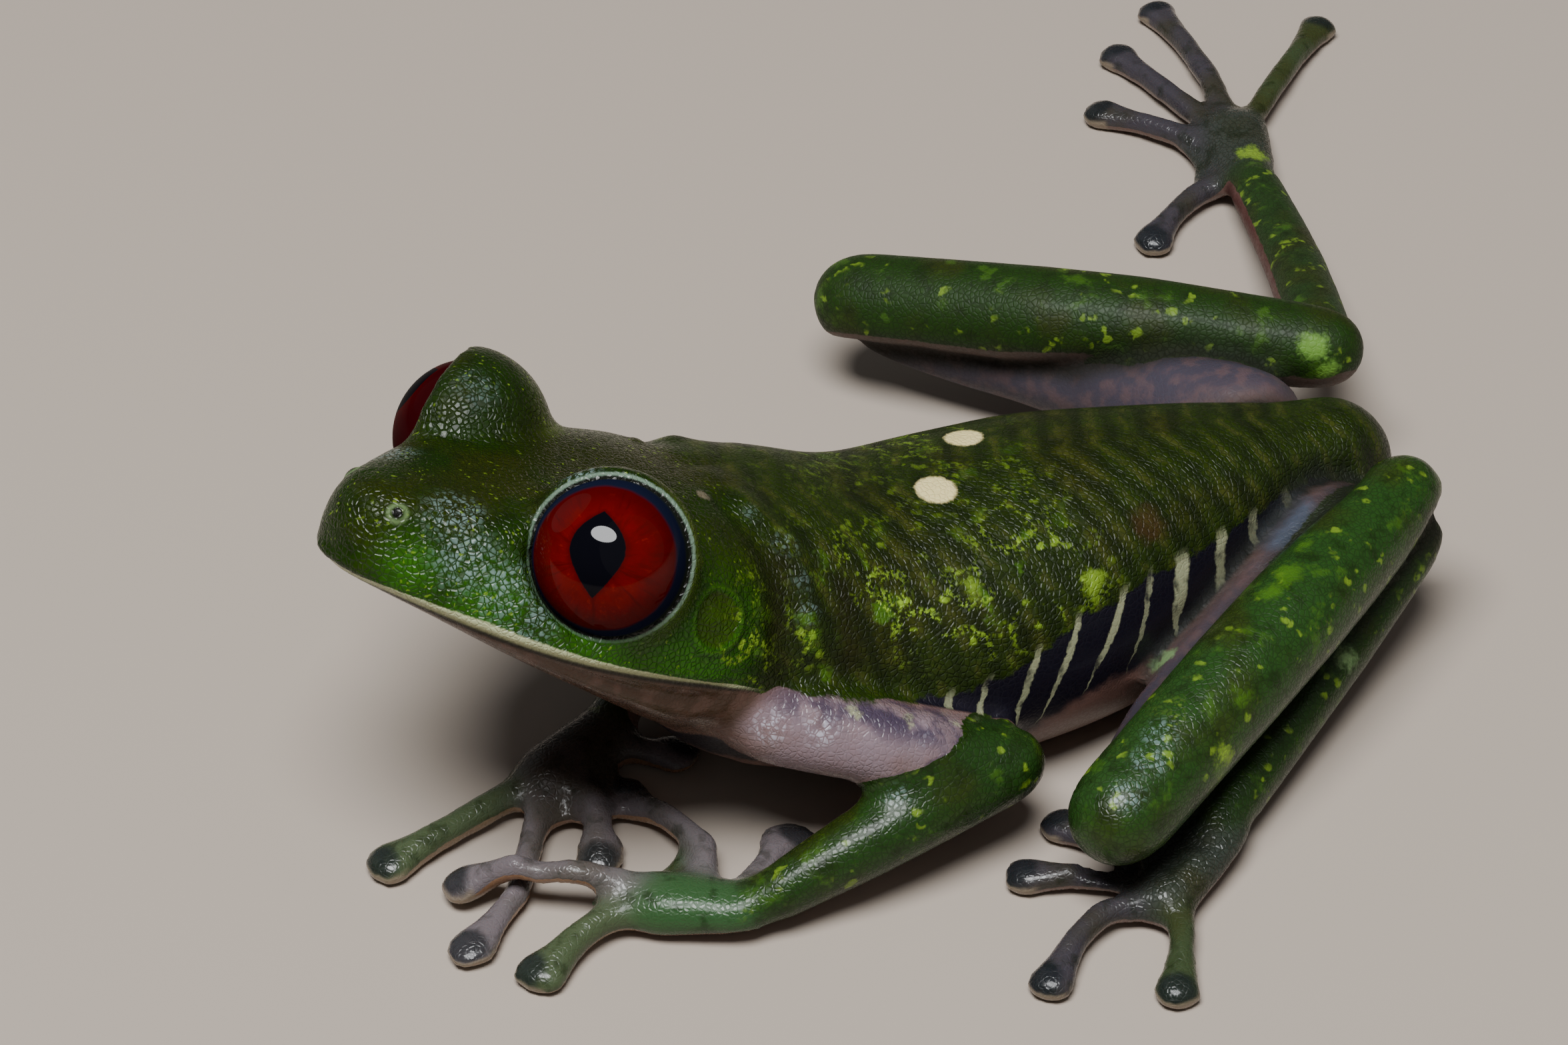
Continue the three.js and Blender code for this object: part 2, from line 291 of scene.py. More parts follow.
# Adds solids grown a little all round; the pad of a finger or toe also grows sideways.
def addNodes(bm, names, form):
    for name in names:
        shape = nodeShape(name, False)
        bmesh.ops.remove_doubles(shape, verts=shape.verts, dist=form["weld"])
        drawWebBack(name, shape)
        shape.normal_update()
        tip = fingertip(name) if name.startswith(("finger", "toe")) else None
        wider = form["pad"].get(growKind(name), 0)
        for vert in shape.verts:
            pad = math.exp(-(((vert.co - tip).length / form["padOver"]) ** 2)) * wider if tip else 0
            sideways = Vector((vert.normal.x, vert.normal.y, 0)) * pad
            vert.co += vert.normal * form["grow"][growKind(name)] + sideways
        for vert, height in zip(shape.verts, liftOf(name, np.array([vert.co for vert in shape.verts]))):
            vert.co.z += height
        addMesh(bm, shape)


def objectFrom(bm, name):
    mesh = bpy.data.meshes.new(name)
    bm.to_mesh(mesh)
    bm.free()
    made = bpy.data.objects.new(name, mesh)
    bpy.context.collection.objects.link(made)
    return made


# Turns a rough mesh into its finished one through modifiers, given as (type, settings).
def through(bm, *modifiers):
    rough = objectFrom(bm, "rough")
    for kind, settings in modifiers:
        modifier = rough.modifiers.new(kind, kind)
        for key, value in settings.items():
            setattr(modifier, key, value)
    shapes = bpy.context.evaluated_depsgraph_get()
    mesh = bpy.data.meshes.new_from_object(rough.evaluated_get(shapes))
    bpy.data.objects.remove(rough)
    finished = bmesh.new()
    finished.from_mesh(mesh)
    bpy.data.meshes.remove(mesh)
    return finished


def addMesh(bm, other):
    mesh = bpy.data.meshes.new("added")
    other.to_mesh(mesh)
    other.free()
    bm.from_mesh(mesh)
    bpy.data.meshes.remove(mesh)


def smoothed(bm, verts, passes):
    axes = {"use_axis_x": True, "use_axis_y": True, "use_axis_z": True}
    for _ in range(passes):
        bmesh.ops.smooth_vert(bm, verts=verts, factor=0.5, **axes)


def closing(voxel):
    return "REMESH", {"mode": "VOXEL", "voxel_size": voxel}


def subdividing(levels):
    return "SUBSURF", {"levels": levels, "render_levels": levels}


# Rings of the head's sections, bridged and closed at both ends.
def loftRings(bm, form, sections):
    rings = []
    for along, level, wide, top, low in sections:
        ring = bmesh.ops.create_circle(bm, radius=1, segments=form["sides"])["verts"]
        for vert in ring:
            x, z = vert.co.x, vert.co.y
            swell = (abs(x) ** form["square"] + abs(z) ** form["square"]) ** (-1 / form["square"])
            vert.co = Vector((x * swell * wide, along, level + z * swell * (top if z > 0 else low)))
        rings.append(list({edge for vert in ring for edge in vert.link_edges}))
    for front, back in zip(rings, rings[1:]):
        bmesh.ops.bridge_loops(bm, edges=front + back)
    bmesh.ops.holes_fill(bm, edges=[edge for edge in bm.edges if edge.is_boundary], sides=0)
    caps = [face for face in bm.faces if len(face.verts) == form["sides"]]
    bmesh.ops.inset_individual(bm, faces=caps, thickness=form["cap"])
    bmesh.ops.recalc_face_normals(bm, faces=bm.faces)


# The part of a ball round the eye that lies behind its rim plane, or in front of it.
def ballPart(side, radius, front):
    ball = bmesh.new()
    bmesh.ops.create_uvsphere(ball, u_segments=lidForm["across"], v_segments=lidForm["rows"], radius=radius)
    zero = eyeMiddle[side] + lidAxis[side] * (0 if front else lidSides[side]["out"])
    bmesh.ops.translate(ball, vec=zero, verts=ball.verts)
    rim = eyeMiddle[side] + lidAxis[side] * lidSides[side]["rim"]
    everything = ball.verts[:] + ball.edges[:] + ball.faces[:]
    outwards = -lidAxis[side] if front else lidAxis[side]
    bmesh.ops.bisect_plane(ball, geom=everything, plane_co=rim, plane_no=outwards, clear_outer=True)
    bmesh.ops.holes_fill(ball, edges=[edge for edge in ball.edges if edge.is_boundary], sides=0)
    return ball


def buildHead(form, sections):
    bm = bmesh.new()
    loftRings(bm, form, sections)
    bmesh.ops.transform(bm, matrix=headTurn.to_4x4(), verts=bm.verts)
    bmesh.ops.translate(bm, vec=headZero / mm, verts=bm.verts)
    bm = through(bm, subdividing(form["subdivisions"]))
    for side in sides:
        socket = objectFrom(ballPart(side, eyeSize + lidForm["clear"], True), "socket")
        bm = through(bm, ("BOOLEAN", {"operation": "DIFFERENCE", "solver": "EXACT", "object": socket}))
        bpy.data.objects.remove(socket)
    return bm


# Removes the small closed pieces that closing up leaves behind.
def dropCrumbs(bm, smallest):
    seen, crumbs = set(), []
    for start in bm.verts:
        if start in seen:
            continue
        part = [start]
        seen.add(start)
        for vert in part:
            fresh = [edge.other_vert(vert) for edge in vert.link_edges if edge.other_vert(vert) not in seen]
            seen.update(fresh)
            part += fresh
        if len(part) < smallest:
            crumbs += part
    bmesh.ops.delete(bm, geom=crumbs, context="VERTS")
    return bm


def buildFlesh(form):
    flesh = bmesh.new()
    limbs = [name for name in fleshNodes if name not in ("head", "trunk") and "tympanum" not in name]
    addNodes(flesh, limbs, form)
    trunk = bmesh.new()
    addNodes(trunk, ["trunk"], form)
    trunk = through(trunk, closing(form["trunkVoxel"]))
    smoothed(trunk, trunk.verts, form["trunkPasses"])
    addMesh(flesh, through(trunk, subdividing(1)))
    addMesh(flesh, buildHead(headForm, headSections))
    for side in sides:
        addMesh(flesh, ballPart(side, eyeSize + lidSides[side]["thick"], False))
    return dropCrumbs(through(flesh, closing(form["voxel"])), form["crumb"])


# How near each point of the skin is to each solid, in millimetres.
def distances(points, reach, lifted):
    near = {}
    for name in fleshNodes:
        low, high = (np.array(corner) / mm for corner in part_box(name))
        high[2] += crossing[name]["lift"] if name in crossing else 0
        bm = nodeShape(name, lifted)
        tree = BVHTree.FromBMesh(bm)
        bm.free()
        found = np.full(len(points), np.inf)
        for i in np.flatnonzero(((points > low - reach) & (points < high + reach)).all(1)):
            hit = tree.find_nearest(points[i], reach)
            if hit[0] is not None:
                found[i] = hit[3]
        near[name] = found
    return near


def zoneOf(name):
    for zone, words in {
        "head": ("head", "tympanum"),
        "trunk": ("trunk",),
        "digit": ("finger", "toe"),
        "palm": ("hand", "foot"),
    }.items():
        if name.startswith(words):
            return zone
    return "limb"


# How deep in a fold each point lies, from 0 to 1.
def foldOf(near, width, form):
    legs = [away for name, away in near.items() if name.startswith(("thigh", "shank", "tarsus", "trunk"))]
    first, second = np.sort(np.array(legs), axis=0)[:2]
    apart = np.where(np.isfinite(second), second - np.minimum(first, form["away"]), form["away"])
    close = np.clip((form["nearest"] - first) / form["fade"], 0, 1) * (second < form["further"])
    return np.exp(-((apart / width) ** 2)) * close


# Smooths each zone by its own passes, then the joints and the neck, and presses the folds in.
def relaxFlesh(bm, form):
    points = np.array([vert.co for vert in bm.verts])
    near = distances(points, form["reach"], True)
    names = list(near)
    closest = np.array([near[name] for name in names])
    ranked = np.sort(closest, axis=0)
    nearest = closest.argmin(axis=0)
    zones = np.array([zoneOf(name) for name in names])[nearest]
    bm.verts.ensure_lookup_table()

    def smoothWhere(chosen, passes):
        smoothed(bm, [bm.verts[i] for i in np.flatnonzero(chosen)], passes)

    along = (points - np.array(headZero) / mm) @ np.array(headTurn)[:, 1]
    for zone, passes in form["passes"].items():
        smoothWhere(zones == zone, passes)
    joint = (ranked[1] < ranked[0] + form["joint"]) & ~np.isin(zones, ("digit", "palm"))
    smoothWhere(joint, form["morePasses"]["joint"])
    neck = np.isin(zones, ("head", "trunk")) & (along > form["neck"][0]) & (along < form["neck"][1])
    smoothWhere(neck, form["morePasses"]["neck"])
    bm.normal_update()
    folds = foldOf(near, foldForm["width"], foldForm)
    for vert, amount in zip(bm.verts, folds):
        vert.co -= vert.normal * float(amount) * foldForm["depth"]
    smoothWhere(folds > foldForm["pressed"], form["morePasses"]["fold"])
    return names, nearest


# Puts the lifted fingers back down on the ones they lie over.
def layDown(bm, names, nearest):
    points = np.array([vert.co for vert in bm.verts])
    for name in crossing:
        height = liftOf(name, points) * (nearest == names.index(name))
        for vert, drop in zip(bm.verts, height):
            vert.co.z -= float(drop)
    for vert in bm.verts:
        vert.co.z = max(vert.co.z, skinForm["lowest"])


# Sculpting of the head, in its own axes: mouth line, nostrils, ridges, folds and eardrums

sculpt = {
    "back": (10.5, 2),  # where the sculpting ends, and its fade
    "mouth": {"start": -10.6, "level": -3.85, "slope": -0.075, "end": 7.4, "fade": 1.4},
    "steep": (0.85, 0.25),  # lips are only formed where the skin is no flatter than this, and their fade
    "groove": (-0.22, -0.05, 0.17),  # how far, where above the mouth line, how wide
    "upperLip": (0.12, 0.4, 0.3),
    "lowerLip": (-0.4, -1.0, 0.75),
    "nostril": {"place": (2.45, -9.25, -0.1), "rim": (0.13, 0.42, 0.17), "pit": (-0.4, 0.0, 0.2)},
    "eardrum": {"rim": (0.13, 1.48, 0.2), "dish": (-0.12, 0.8, 0.6), "boss": (0.03, 0.0, 0.3)},
    "ridges": [
        # height, width, and the line that it follows
        (0.2, 0.6, [(5.0, -4.6, 1.5), (3.6, -7.4, 0.9), (2.4, -9.4, 0.4)]),
        (-0.28, 1.1, [(6.0, -4.8, -1.4), (4.6, -6.8, -1.3), (3.4, -8.4, -1.2)]),
        (0.2, 0.34, [(8.5, 3.6, 0.9), (9.0, 5.8, 0.3), (9.0, 7.6, -1.0), (8.7, 8.9, -3.4)]),
        (-0.12, 0.3, [(8.6, 3.4, 0.3), (9.1, 5.6, -0.3), (9.1, 7.2, -1.5), (8.9, 8.4, -3.4)]),
        (-0.2, 2.4, [(0.0, -4.0, 1.6), (0.0, 1.5, 2.1)]),
    ],
    "folds": [
        (
            0.26,
            0.75,
            [(3.4, 9.4, 1.2), (5.4, 10.6, 0.5), (6.7, 11.1, -0.8), (7.6, 11.4, -1.9), (7.9, 11.6, -3.2)],
        ),
        (-0.2, 0.7, [(3.4, 7.9, 1.6), (5.6, 8.7, 0.7), (7.3, 9.2, -0.9), (8.1, 9.6, -2.6)]),
        (0.26, 1.5, [(1.4, 8.7, 2.0), (2.6, 9.3, 1.6)]),
        (0.12, 0.35, [(3.0, 6.82, 1.8), (3.2, 6.9, 1.75)]),
    ],
}


def bump(distance, height, at, width):
    return height * np.exp(-(((distance - at) / width) ** 2))


def lineDistance(points, line):
    nearest = np.full(len(points), np.inf)
    for start, end in zip(line, line[1:]):
        start, run = np.array(start), np.array(end) - np.array(start)
        share = np.clip((points - start) @ run / (run @ run), 0, 1)
        nearest = np.minimum(nearest, np.linalg.norm(points - start - share[:, None] * run, axis=1))
    return nearest


# How far each point is from a line in the head's axes, or from its mirror image.
def lineAway(points, line):
    return np.minimum(lineDistance(points, line), lineDistance(points * (-1, 1, 1), line))


def mouthLevel(along):
    mouth = sculpt["mouth"]
    return mouth["level"] + mouth["slope"] * (along - mouth["start"])


# Moves the points of the skin along their normals by the sum of the forms in the dictionary.
def sculptHead(bm, form):
    turn, zero = np.array(headTurn), np.array(headZero) / mm
    bm.normal_update()
    points = (np.array([vert.co for vert in bm.verts]) - zero) @ turn
    normals = np.array([vert.normal for vert in bm.verts]) @ turn
    end, fade = form["back"]
    onHead = np.clip((end - points[:, 1]) / fade, 0, 1)
    mouth = form["mouth"]
    above = points[:, 2] - mouthLevel(points[:, 1])
    limit, fade = form["steep"]
    steep = np.clip((limit - np.abs(normals[:, 2])) / fade, 0, 1)
    along = np.clip((mouth["end"] - points[:, 1]) / mouth["fade"], 0, 1)
    push = sum(bump(above, *form[key]) for key in ("groove", "upperLip", "lowerLip")) * steep * along
    for height, width, line in form["ridges"]:
        push += bump(lineAway(points, line), height, 0, width)
    nostril = np.array(form["nostril"]["place"])
    off = np.linalg.norm(np.column_stack((np.abs(points[:, 0]), points[:, 1:])) - nostril, axis=1)
    push += bump(off, *form["nostril"]["rim"]) + bump(off, *form["nostril"]["pit"])
    for side in sides:
        drum = (np.array(middle(f"tympanum_{side}")) / mm - zero) @ turn
        off = np.linalg.norm(points - drum, axis=1)
        push += sum(bump(off, *form["eardrum"][key]) for key in ("rim", "dish", "boss"))
    push *= onHead
    for height, width, line in form["folds"]:
        push += bump(lineAway(points, line), height, 0, width)
    for vert, amount in zip(bm.verts, push):
        vert.co += vert.normal * float(amount)


# Smooths the few places where the skin passes through itself, until none are left.
def untangle(bm, form):
    for _ in range(form["rounds"]):
        bm.faces.ensure_lookup_table()
        tree = BVHTree.FromBMesh(bm)
        crossed = set()
        for first, second in tree.overlap(tree):
            corners = {*bm.faces[first].verts}, {*bm.faces[second].verts}
            if not corners[0] & corners[1]:
                crossed |= corners[0] | corners[1]
        print("skin passes through itself at", len(crossed), "points")
        if not crossed:
            break
        for _ in range(form["around"]):
            crossed |= {edge.other_vert(vert) for vert in crossed for edge in vert.link_edges}
        bm.verts.index_update()
        smoothed(bm, sorted(crossed, key=lambda vert: vert.index), form["passes"])


headPart = {"back": 9.5, "low": -12, "beside": 11, "passes": 2}  # its bounds in its own axes, and smoothing


# Gives the head finer faces before it is sculpted.
def refineHead(bm, part):
    turn, zero = np.array(headTurn), np.array(headZero) / mm
    points = (np.array([vert.co for vert in bm.verts]) - zero) @ turn
    onHead = (points[:, 1] < part["back"]) & (points[:, 2] > part["low"])
    onHead &= np.abs(points[:, 0]) < part["beside"]
    bm.verts.ensure_lookup_table()
    chosen = {bm.verts[i] for i in np.flatnonzero(onHead)}
    edges = [edge for edge in bm.edges if edge.verts[0] in chosen and edge.verts[1] in chosen]
    bmesh.ops.subdivide_edges(bm, edges=edges, cuts=1, use_grid_fill=True)
    fresh = (np.array([vert.co for vert in bm.verts]) - zero) @ turn
    bm.verts.ensure_lookup_table()
    smoothed(bm, [bm.verts[i] for i in np.flatnonzero(fresh[:, 1] < part["back"])], part["passes"])


flesh = buildFlesh(skinForm)
print("flesh closed up", len(flesh.verts))
layDown(flesh, *relaxFlesh(flesh, skinForm))
print("flesh relaxed")
refineHead(flesh, headPart)
sculptHead(flesh, sculpt)
untangle(flesh, tangleForm)
print("head sculpted", len(flesh.verts))
bmesh.ops.scale(flesh, vec=(mm,) * 3, verts=flesh.verts)
skin = objectFrom(flesh, "skin")
for face in skin.data.polygons:
    face.use_smooth = True


# Markings: each zone has an upper colour, a lower colour and the side that its upper colour faces

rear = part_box("trunk")[1].y / mm  # the rear end of the trunk
spine = middle("trunk").x / mm
zoneLooks = {
    # zone: upper colour, lower colour, facing of the left side, edge of the upper colour
    # head: its lower colour is the brown of the throat, darkened further by painted shade under the chin
    "head": ((0.0085, 0.0250, 0.0007), (0.056, 0.027, 0.014), (0, 0, 1), 0.0),
    "trunk": ((0.0170, 0.0320, 0.0014), (0.19, 0.120, 0.095), (0, 0, 1), 0.0),
    "upper_arm": ((0.013, 0.034, 0.002), (0.195, 0.135, 0.138), (0.1, 0.2, 1), 1.02),
    "forearm": ((0.015, 0.045, 0.007), (0.17, 0.110, 0.085), (0.75, -0.2, 0.62), -0.05),
    "hand": ((0.032, 0.085, 0.027), (0.19, 0.115, 0.085), (0.5, -0.2, 0.85), 0.0),
    "hand_right": ((0.070, 0.052, 0.050), (0.19, 0.115, 0.085), (0.5, -0.2, 0.85), 0.0),
    "finger_inner": ((0.140, 0.118, 0.125), (0.27, 0.150, 0.080), (0, 0, 1), 0.1),
    "finger_outer": ((0.062, 0.085, 0.040), (0.23, 0.160, 0.090), (0.2, 0, 1), -0.1),
    "thigh": ((0.026, 0.048, 0.012), (0.052, 0.044, 0.062), (0.3, 0.1, 1), 1.1),
    "shank": ((0.018, 0.057, 0.009), (0.10, 0.070, 0.055), (0.35, 0.0, 0.94), -0.5),
    # shank_right: a darker copy of the shank's green, as painted shade on the far leg
    "shank_right": ((0.011, 0.036, 0.002), (0.10, 0.070, 0.055), (0.35, 0.0, 0.94), -0.5),
    "tarsus": ((0.015, 0.040, 0.007), (0.085, 0.030, 0.026), (0.6, 0.55, 0.55), 0.0),
    "foot": ((0.036, 0.043, 0.034), (0.12, 0.070, 0.060), (0.1, 0, 1), -0.1),
    "toe_inner": ((0.046, 0.040, 0.048), (0.14, 0.085, 0.070), (0, 0, 1), -0.1),
    "toe_outer": ((0.040, 0.058, 0.024), (0.14, 0.090, 0.070), (0, 0, 1), -0.1),
}
# Height of the edge of the green along the trunk, as (how far in front of the rear end, height)
greenEdge = [
    (0, 4.5),
    (3, 6.6),
    (6, 8.6),
    (8.5, 8.9),
    (13.4, 9.15),
    (16.9, 9.4),
    (21.7, 9.1),
    (25.3, 7.8),
    (28.0, 7.4),
    (33.0, 8.2),
    (40.0, 9.4),
]
# Height of the middle of the speckled band above that edge, placed in the same way
speckLine = [(18, 1.0), (25, 2.9), (32, 4.5), (40, 4.7)]
# Height of the pale stripe above the mouth line, from the snout back
lipStripe = [(-10.6, 0.2), (-8, 0.45), (-5.5, 0.66), (-1, 0.48), (3.5, 0.32), (7.6, 0.14), (9, 0.01)]
speckBand = {"width": 1.9, "start": (18, 5), "end": (42, 3)}  # where it starts and ends, and its fades
# Regions of the head and neck, as balls in the head's axes: centre and radius
cheekMarks = [((8.6, 8.2, -3.6), 2.8), ((9.2, 6.6, 0.6), 1.6)]
cheekGreen = [
    ((8.8, 5.0, -3.6), 4.8),
    ((7.6, -0.5, -4.0), 3.6),
    ((5.6, -5.2, -3.2), 2.6),
    ((3.2, -8.2, -2.6), 2.0),
]
# Painted glints: places where pale highlights on the granules are painted into the skin's colour, as balls
# in the head's axes
paintedGlintMarks = [
    ((3.0, -6.6, 0.0), 1.9),
    ((4.6, -6.4, -1.4), 2.1),
    ((6.0, -4.9, -2.1), 2.0),
    ((7.2, -3.7, -3.0), 1.6),
    ((4.5, -1.9, 3.3), 1.5),
    ((3.7, 9.2, 1.1), 0.9),
    ((5.4, 10.4, 0.5), 1.0),
    ((6.6, 10.9, -0.7), 0.9),
    ((7.5, 11.2, -1.8), 0.9),
    ((9.2, 9.9, -6.9), 1.3),
    ((10.2, 12.0, -6.5), 1.2),
    ((11.7, 16.8, -6.2), 1.1),
    ((12.4, 16.0, -8.8), 1.0),
    ((18.4, 24.9, -2.1), 1.2),
    ((19.2, 24.0, -3.1), 1.2),
    ((20.0, 22.7, -4.5), 1.2),
]
farLid = {"centre": (-4.5, -1.9, 3.3), "radius": 2.4, "dull": 0.6}  # the right lid shines less
# Dark bands in the folds of the neck: width, and the line that each follows in the head's axes
neckBands = [
    (1.05, [(6.0, 9.9, -0.2), (6.9, 9.5, -1.5), (7.5, 9.6, -3.3), (7.8, 10.0, -5.2)]),
    (0.65, [(7.0, 13.2, -0.6), (8.0, 13.3, -1.8), (8.4, 13.9, -3.7)]),
]
markForm = {
    "lipScale": 2,  # the boundary of the green fades over this height on the head
    "edgeScale": 3,  # and over this height on the trunk
    "headEnd": (9.5, 2),  # where the head's own marks end, and their fade
    "ballEdge": 1.5,  # how fast a ball's mark fades outwards
    "bandSpecks": 0.8,  # share of the specks that a neck band hides
    "padReach": 1.2,
    "offTips": 9,  # depth written on all that is no finger or toe
    "tipShare": 0.4,  # more than this share of a finger or toe makes a tip
}


def zoneLook(node):
    if node in zoneLooks:
        return zoneLooks[node]
    name = node.replace("_left", "").replace("_right", "")
    if name.startswith(("finger", "toe")):
        kind, digit = name.split("_")
        name = f"{kind}_{'outer' if digit == ('4' if kind == 'finger' else '5') else 'inner'}"
    return zoneLooks["head" if name == "tympanum" else name]


def alongLine(line, values):
    return np.interp(values, [place for place, _ in line], [value for _, value in line])


# Strongest where a point is at the middle of any of the balls, and the same on both sides of the head.
def inBalls(points, balls):
    found = np.zeros(len(points))
    for centre, radius in balls:
        for flip in (1, -1):
            off = np.linalg.norm(points - np.array(centre) * (flip, 1, 1), axis=1) / radius
            found = np.maximum(found, np.exp(-(off**2) * markForm["ballEdge"]))
    return found


def inNeckBands(points):
    found = np.zeros(len(points))
    for width, line in neckBands:
        found = np.maximum(found, bump(lineAway(points, line), 1, 0, width))
    return found


# The speckled band along the flank, where drop is the depth below the edge of the green.
def inSpeckBand(drop, fromRear, form):
    start, startFade = form["start"]
    end, endFade = form["end"]
    band = np.exp(-(((drop + alongLine(speckLine, fromRear)) / form["width"]) ** 2))
    return band * np.clip((fromRear - start) / startFade, 0, 1) * np.clip((end - fromRear) / endFade, 0, 1)


# How far inside the pad of a finger or toe each point lies.
def padDepth(points, tips, form):
    depth = np.full(len(points), -float(form["offTips"]))
    for name in fleshNodes:
        if name.startswith(("finger", "toe")):
            away = np.linalg.norm(points - np.array(fingertip(name)), axis=1)
            depth = np.maximum(depth, form["padReach"] - away)
    return np.where(tips > form["tipShare"], depth, -form["offTips"])


# How much of each solid is felt at each point. Above the elbow the forearm takes over from the upper arm.
def zoneShares(near, form):
    weights = {name: np.exp(-away / form["blend"][zoneOf(name)]) for name, away in near.items()}
    reach, fade = form["elbow"]
    for side in sides:
        arm, forearm = f"upper_arm_{side}", f"forearm_{side}"
        moved = np.clip((reach - near[forearm]) / fade, 0, 1) * weights[arm]
        weights[arm] = weights[arm] - moved
        weights[forearm] = weights[forearm] + moved
    total = sum(weights.values()) + 1e-9
    return {name: weight / total for name, weight in weights.items()}


def shareOf(shares, *words):
    return sum(share for name, share in shares.items() if name.startswith(words))


# The upper and lower colours, and how far each point is on the upper side of its zone.
def mixZones(points, normals, shares, edge, above):
    upper, lower = np.zeros((len(points), 3)), np.zeros((len(points), 3))
    green = np.zeros(len(points))
    for name, share in shares.items():
        topColour, lowColour, facing, limit = zoneLook(name)
        upper += share[:, None] * np.array(topColour)
        lower += share[:, None] * np.array(lowColour)
        if zoneOf(name) == "head":
            field = above / markForm["lipScale"]
        elif name == "trunk":
            field = (points[:, 2] - edge) / markForm["edgeScale"]
        else:
            facing = np.array(facing) * (-1 if "_right" in name else 1, 1, 1)
            field = normals @ (facing / np.linalg.norm(facing)) - limit
        green += share * np.clip(field, -1, 1)
    return upper, lower, green


def writeField(mesh, name, values):
    kind = "FLOAT" if values.ndim == 1 else "FLOAT_COLOR"
    layer = mesh.attributes.new(name, kind, "POINT")
    if kind == "FLOAT":
        layer.data.foreach_set("value", values.astype(np.float32))
    else:
        padded = np.concatenate([values, np.ones((len(values), 1))], axis=1)
        layer.data.foreach_set("color", padded.astype(np.float32).ravel())


# Writes all that the skin's material reads from its points.
def markSkin(mesh, form):
    points = np.array([vert.co for vert in mesh.vertices]) / mm
    normals = np.array([vert.normal for vert in mesh.vertices])
    near = distances(points, form["reach"], False)
    shares = zoneShares(near, form)
    local = (points - np.array(headZero) / mm) @ np.array(headTurn)
    above = local[:, 2] - mouthLevel(local[:, 1])
    fromRear = rear - points[:, 1]
    edge = alongLine(greenEdge, fromRear)
    drop = edge - points[:, 2]
    upper, lower, green = mixZones(points, normals, shares, edge, above)
    headEnd, headFade = markForm["headEnd"]
    tips = shareOf(shares, "finger", "toe")
    specks = np.maximum(inSpeckBand(drop, fromRear, speckBand), inBalls(local, cheekMarks))
    bandsAt = inNeckBands(local)
    off = np.linalg.norm(local - np.array(farLid["centre"]), axis=1) / farLid["radius"]
    rightLeg = sum(shares[f"{part}_right"] for part in ("thigh", "shank", "tarsus"))
    fields = {
        "upper": upper,
        "lower": lower,
        "green": green,
        "drop": drop,
        "onTrunk": shares["trunk"],
        "onHead": shareOf(shares, "head", "tympanum") * np.clip((headEnd - local[:, 1]) / headFade, 0, 1),
        "onLimb": shareOf(shares, "forearm", "shank", "tarsus"),
        "onArm": shareOf(shares, "upper_arm"),
        "above": above,
        "lip": 1 - above / alongLine(lipStripe, local[:, 1]),
        "specks": specks * (1 - bandsAt * markForm["bandSpecks"]),
        "neckBands": bandsAt,
        "cheek": inBalls(local, cheekGreen),
        "glints": inBalls(local, paintedGlintMarks),
        "pad": padDepth(points, tips, markForm),
        "smooth": np.clip(tips + shareOf(shares, "hand"), 0, 1),
        # how deep in a fold each point lies, where painted shade is laid
        "crease": foldOf(near, foldForm["shadow"], foldForm),
        "dull": np.maximum(rightLeg, np.exp(-(off**2)) * farLid["dull"]),
    }
    for name, values in fields.items():
        writeField(mesh, name, values)


markSkin(skin.data, skinForm)
print("skin marked")


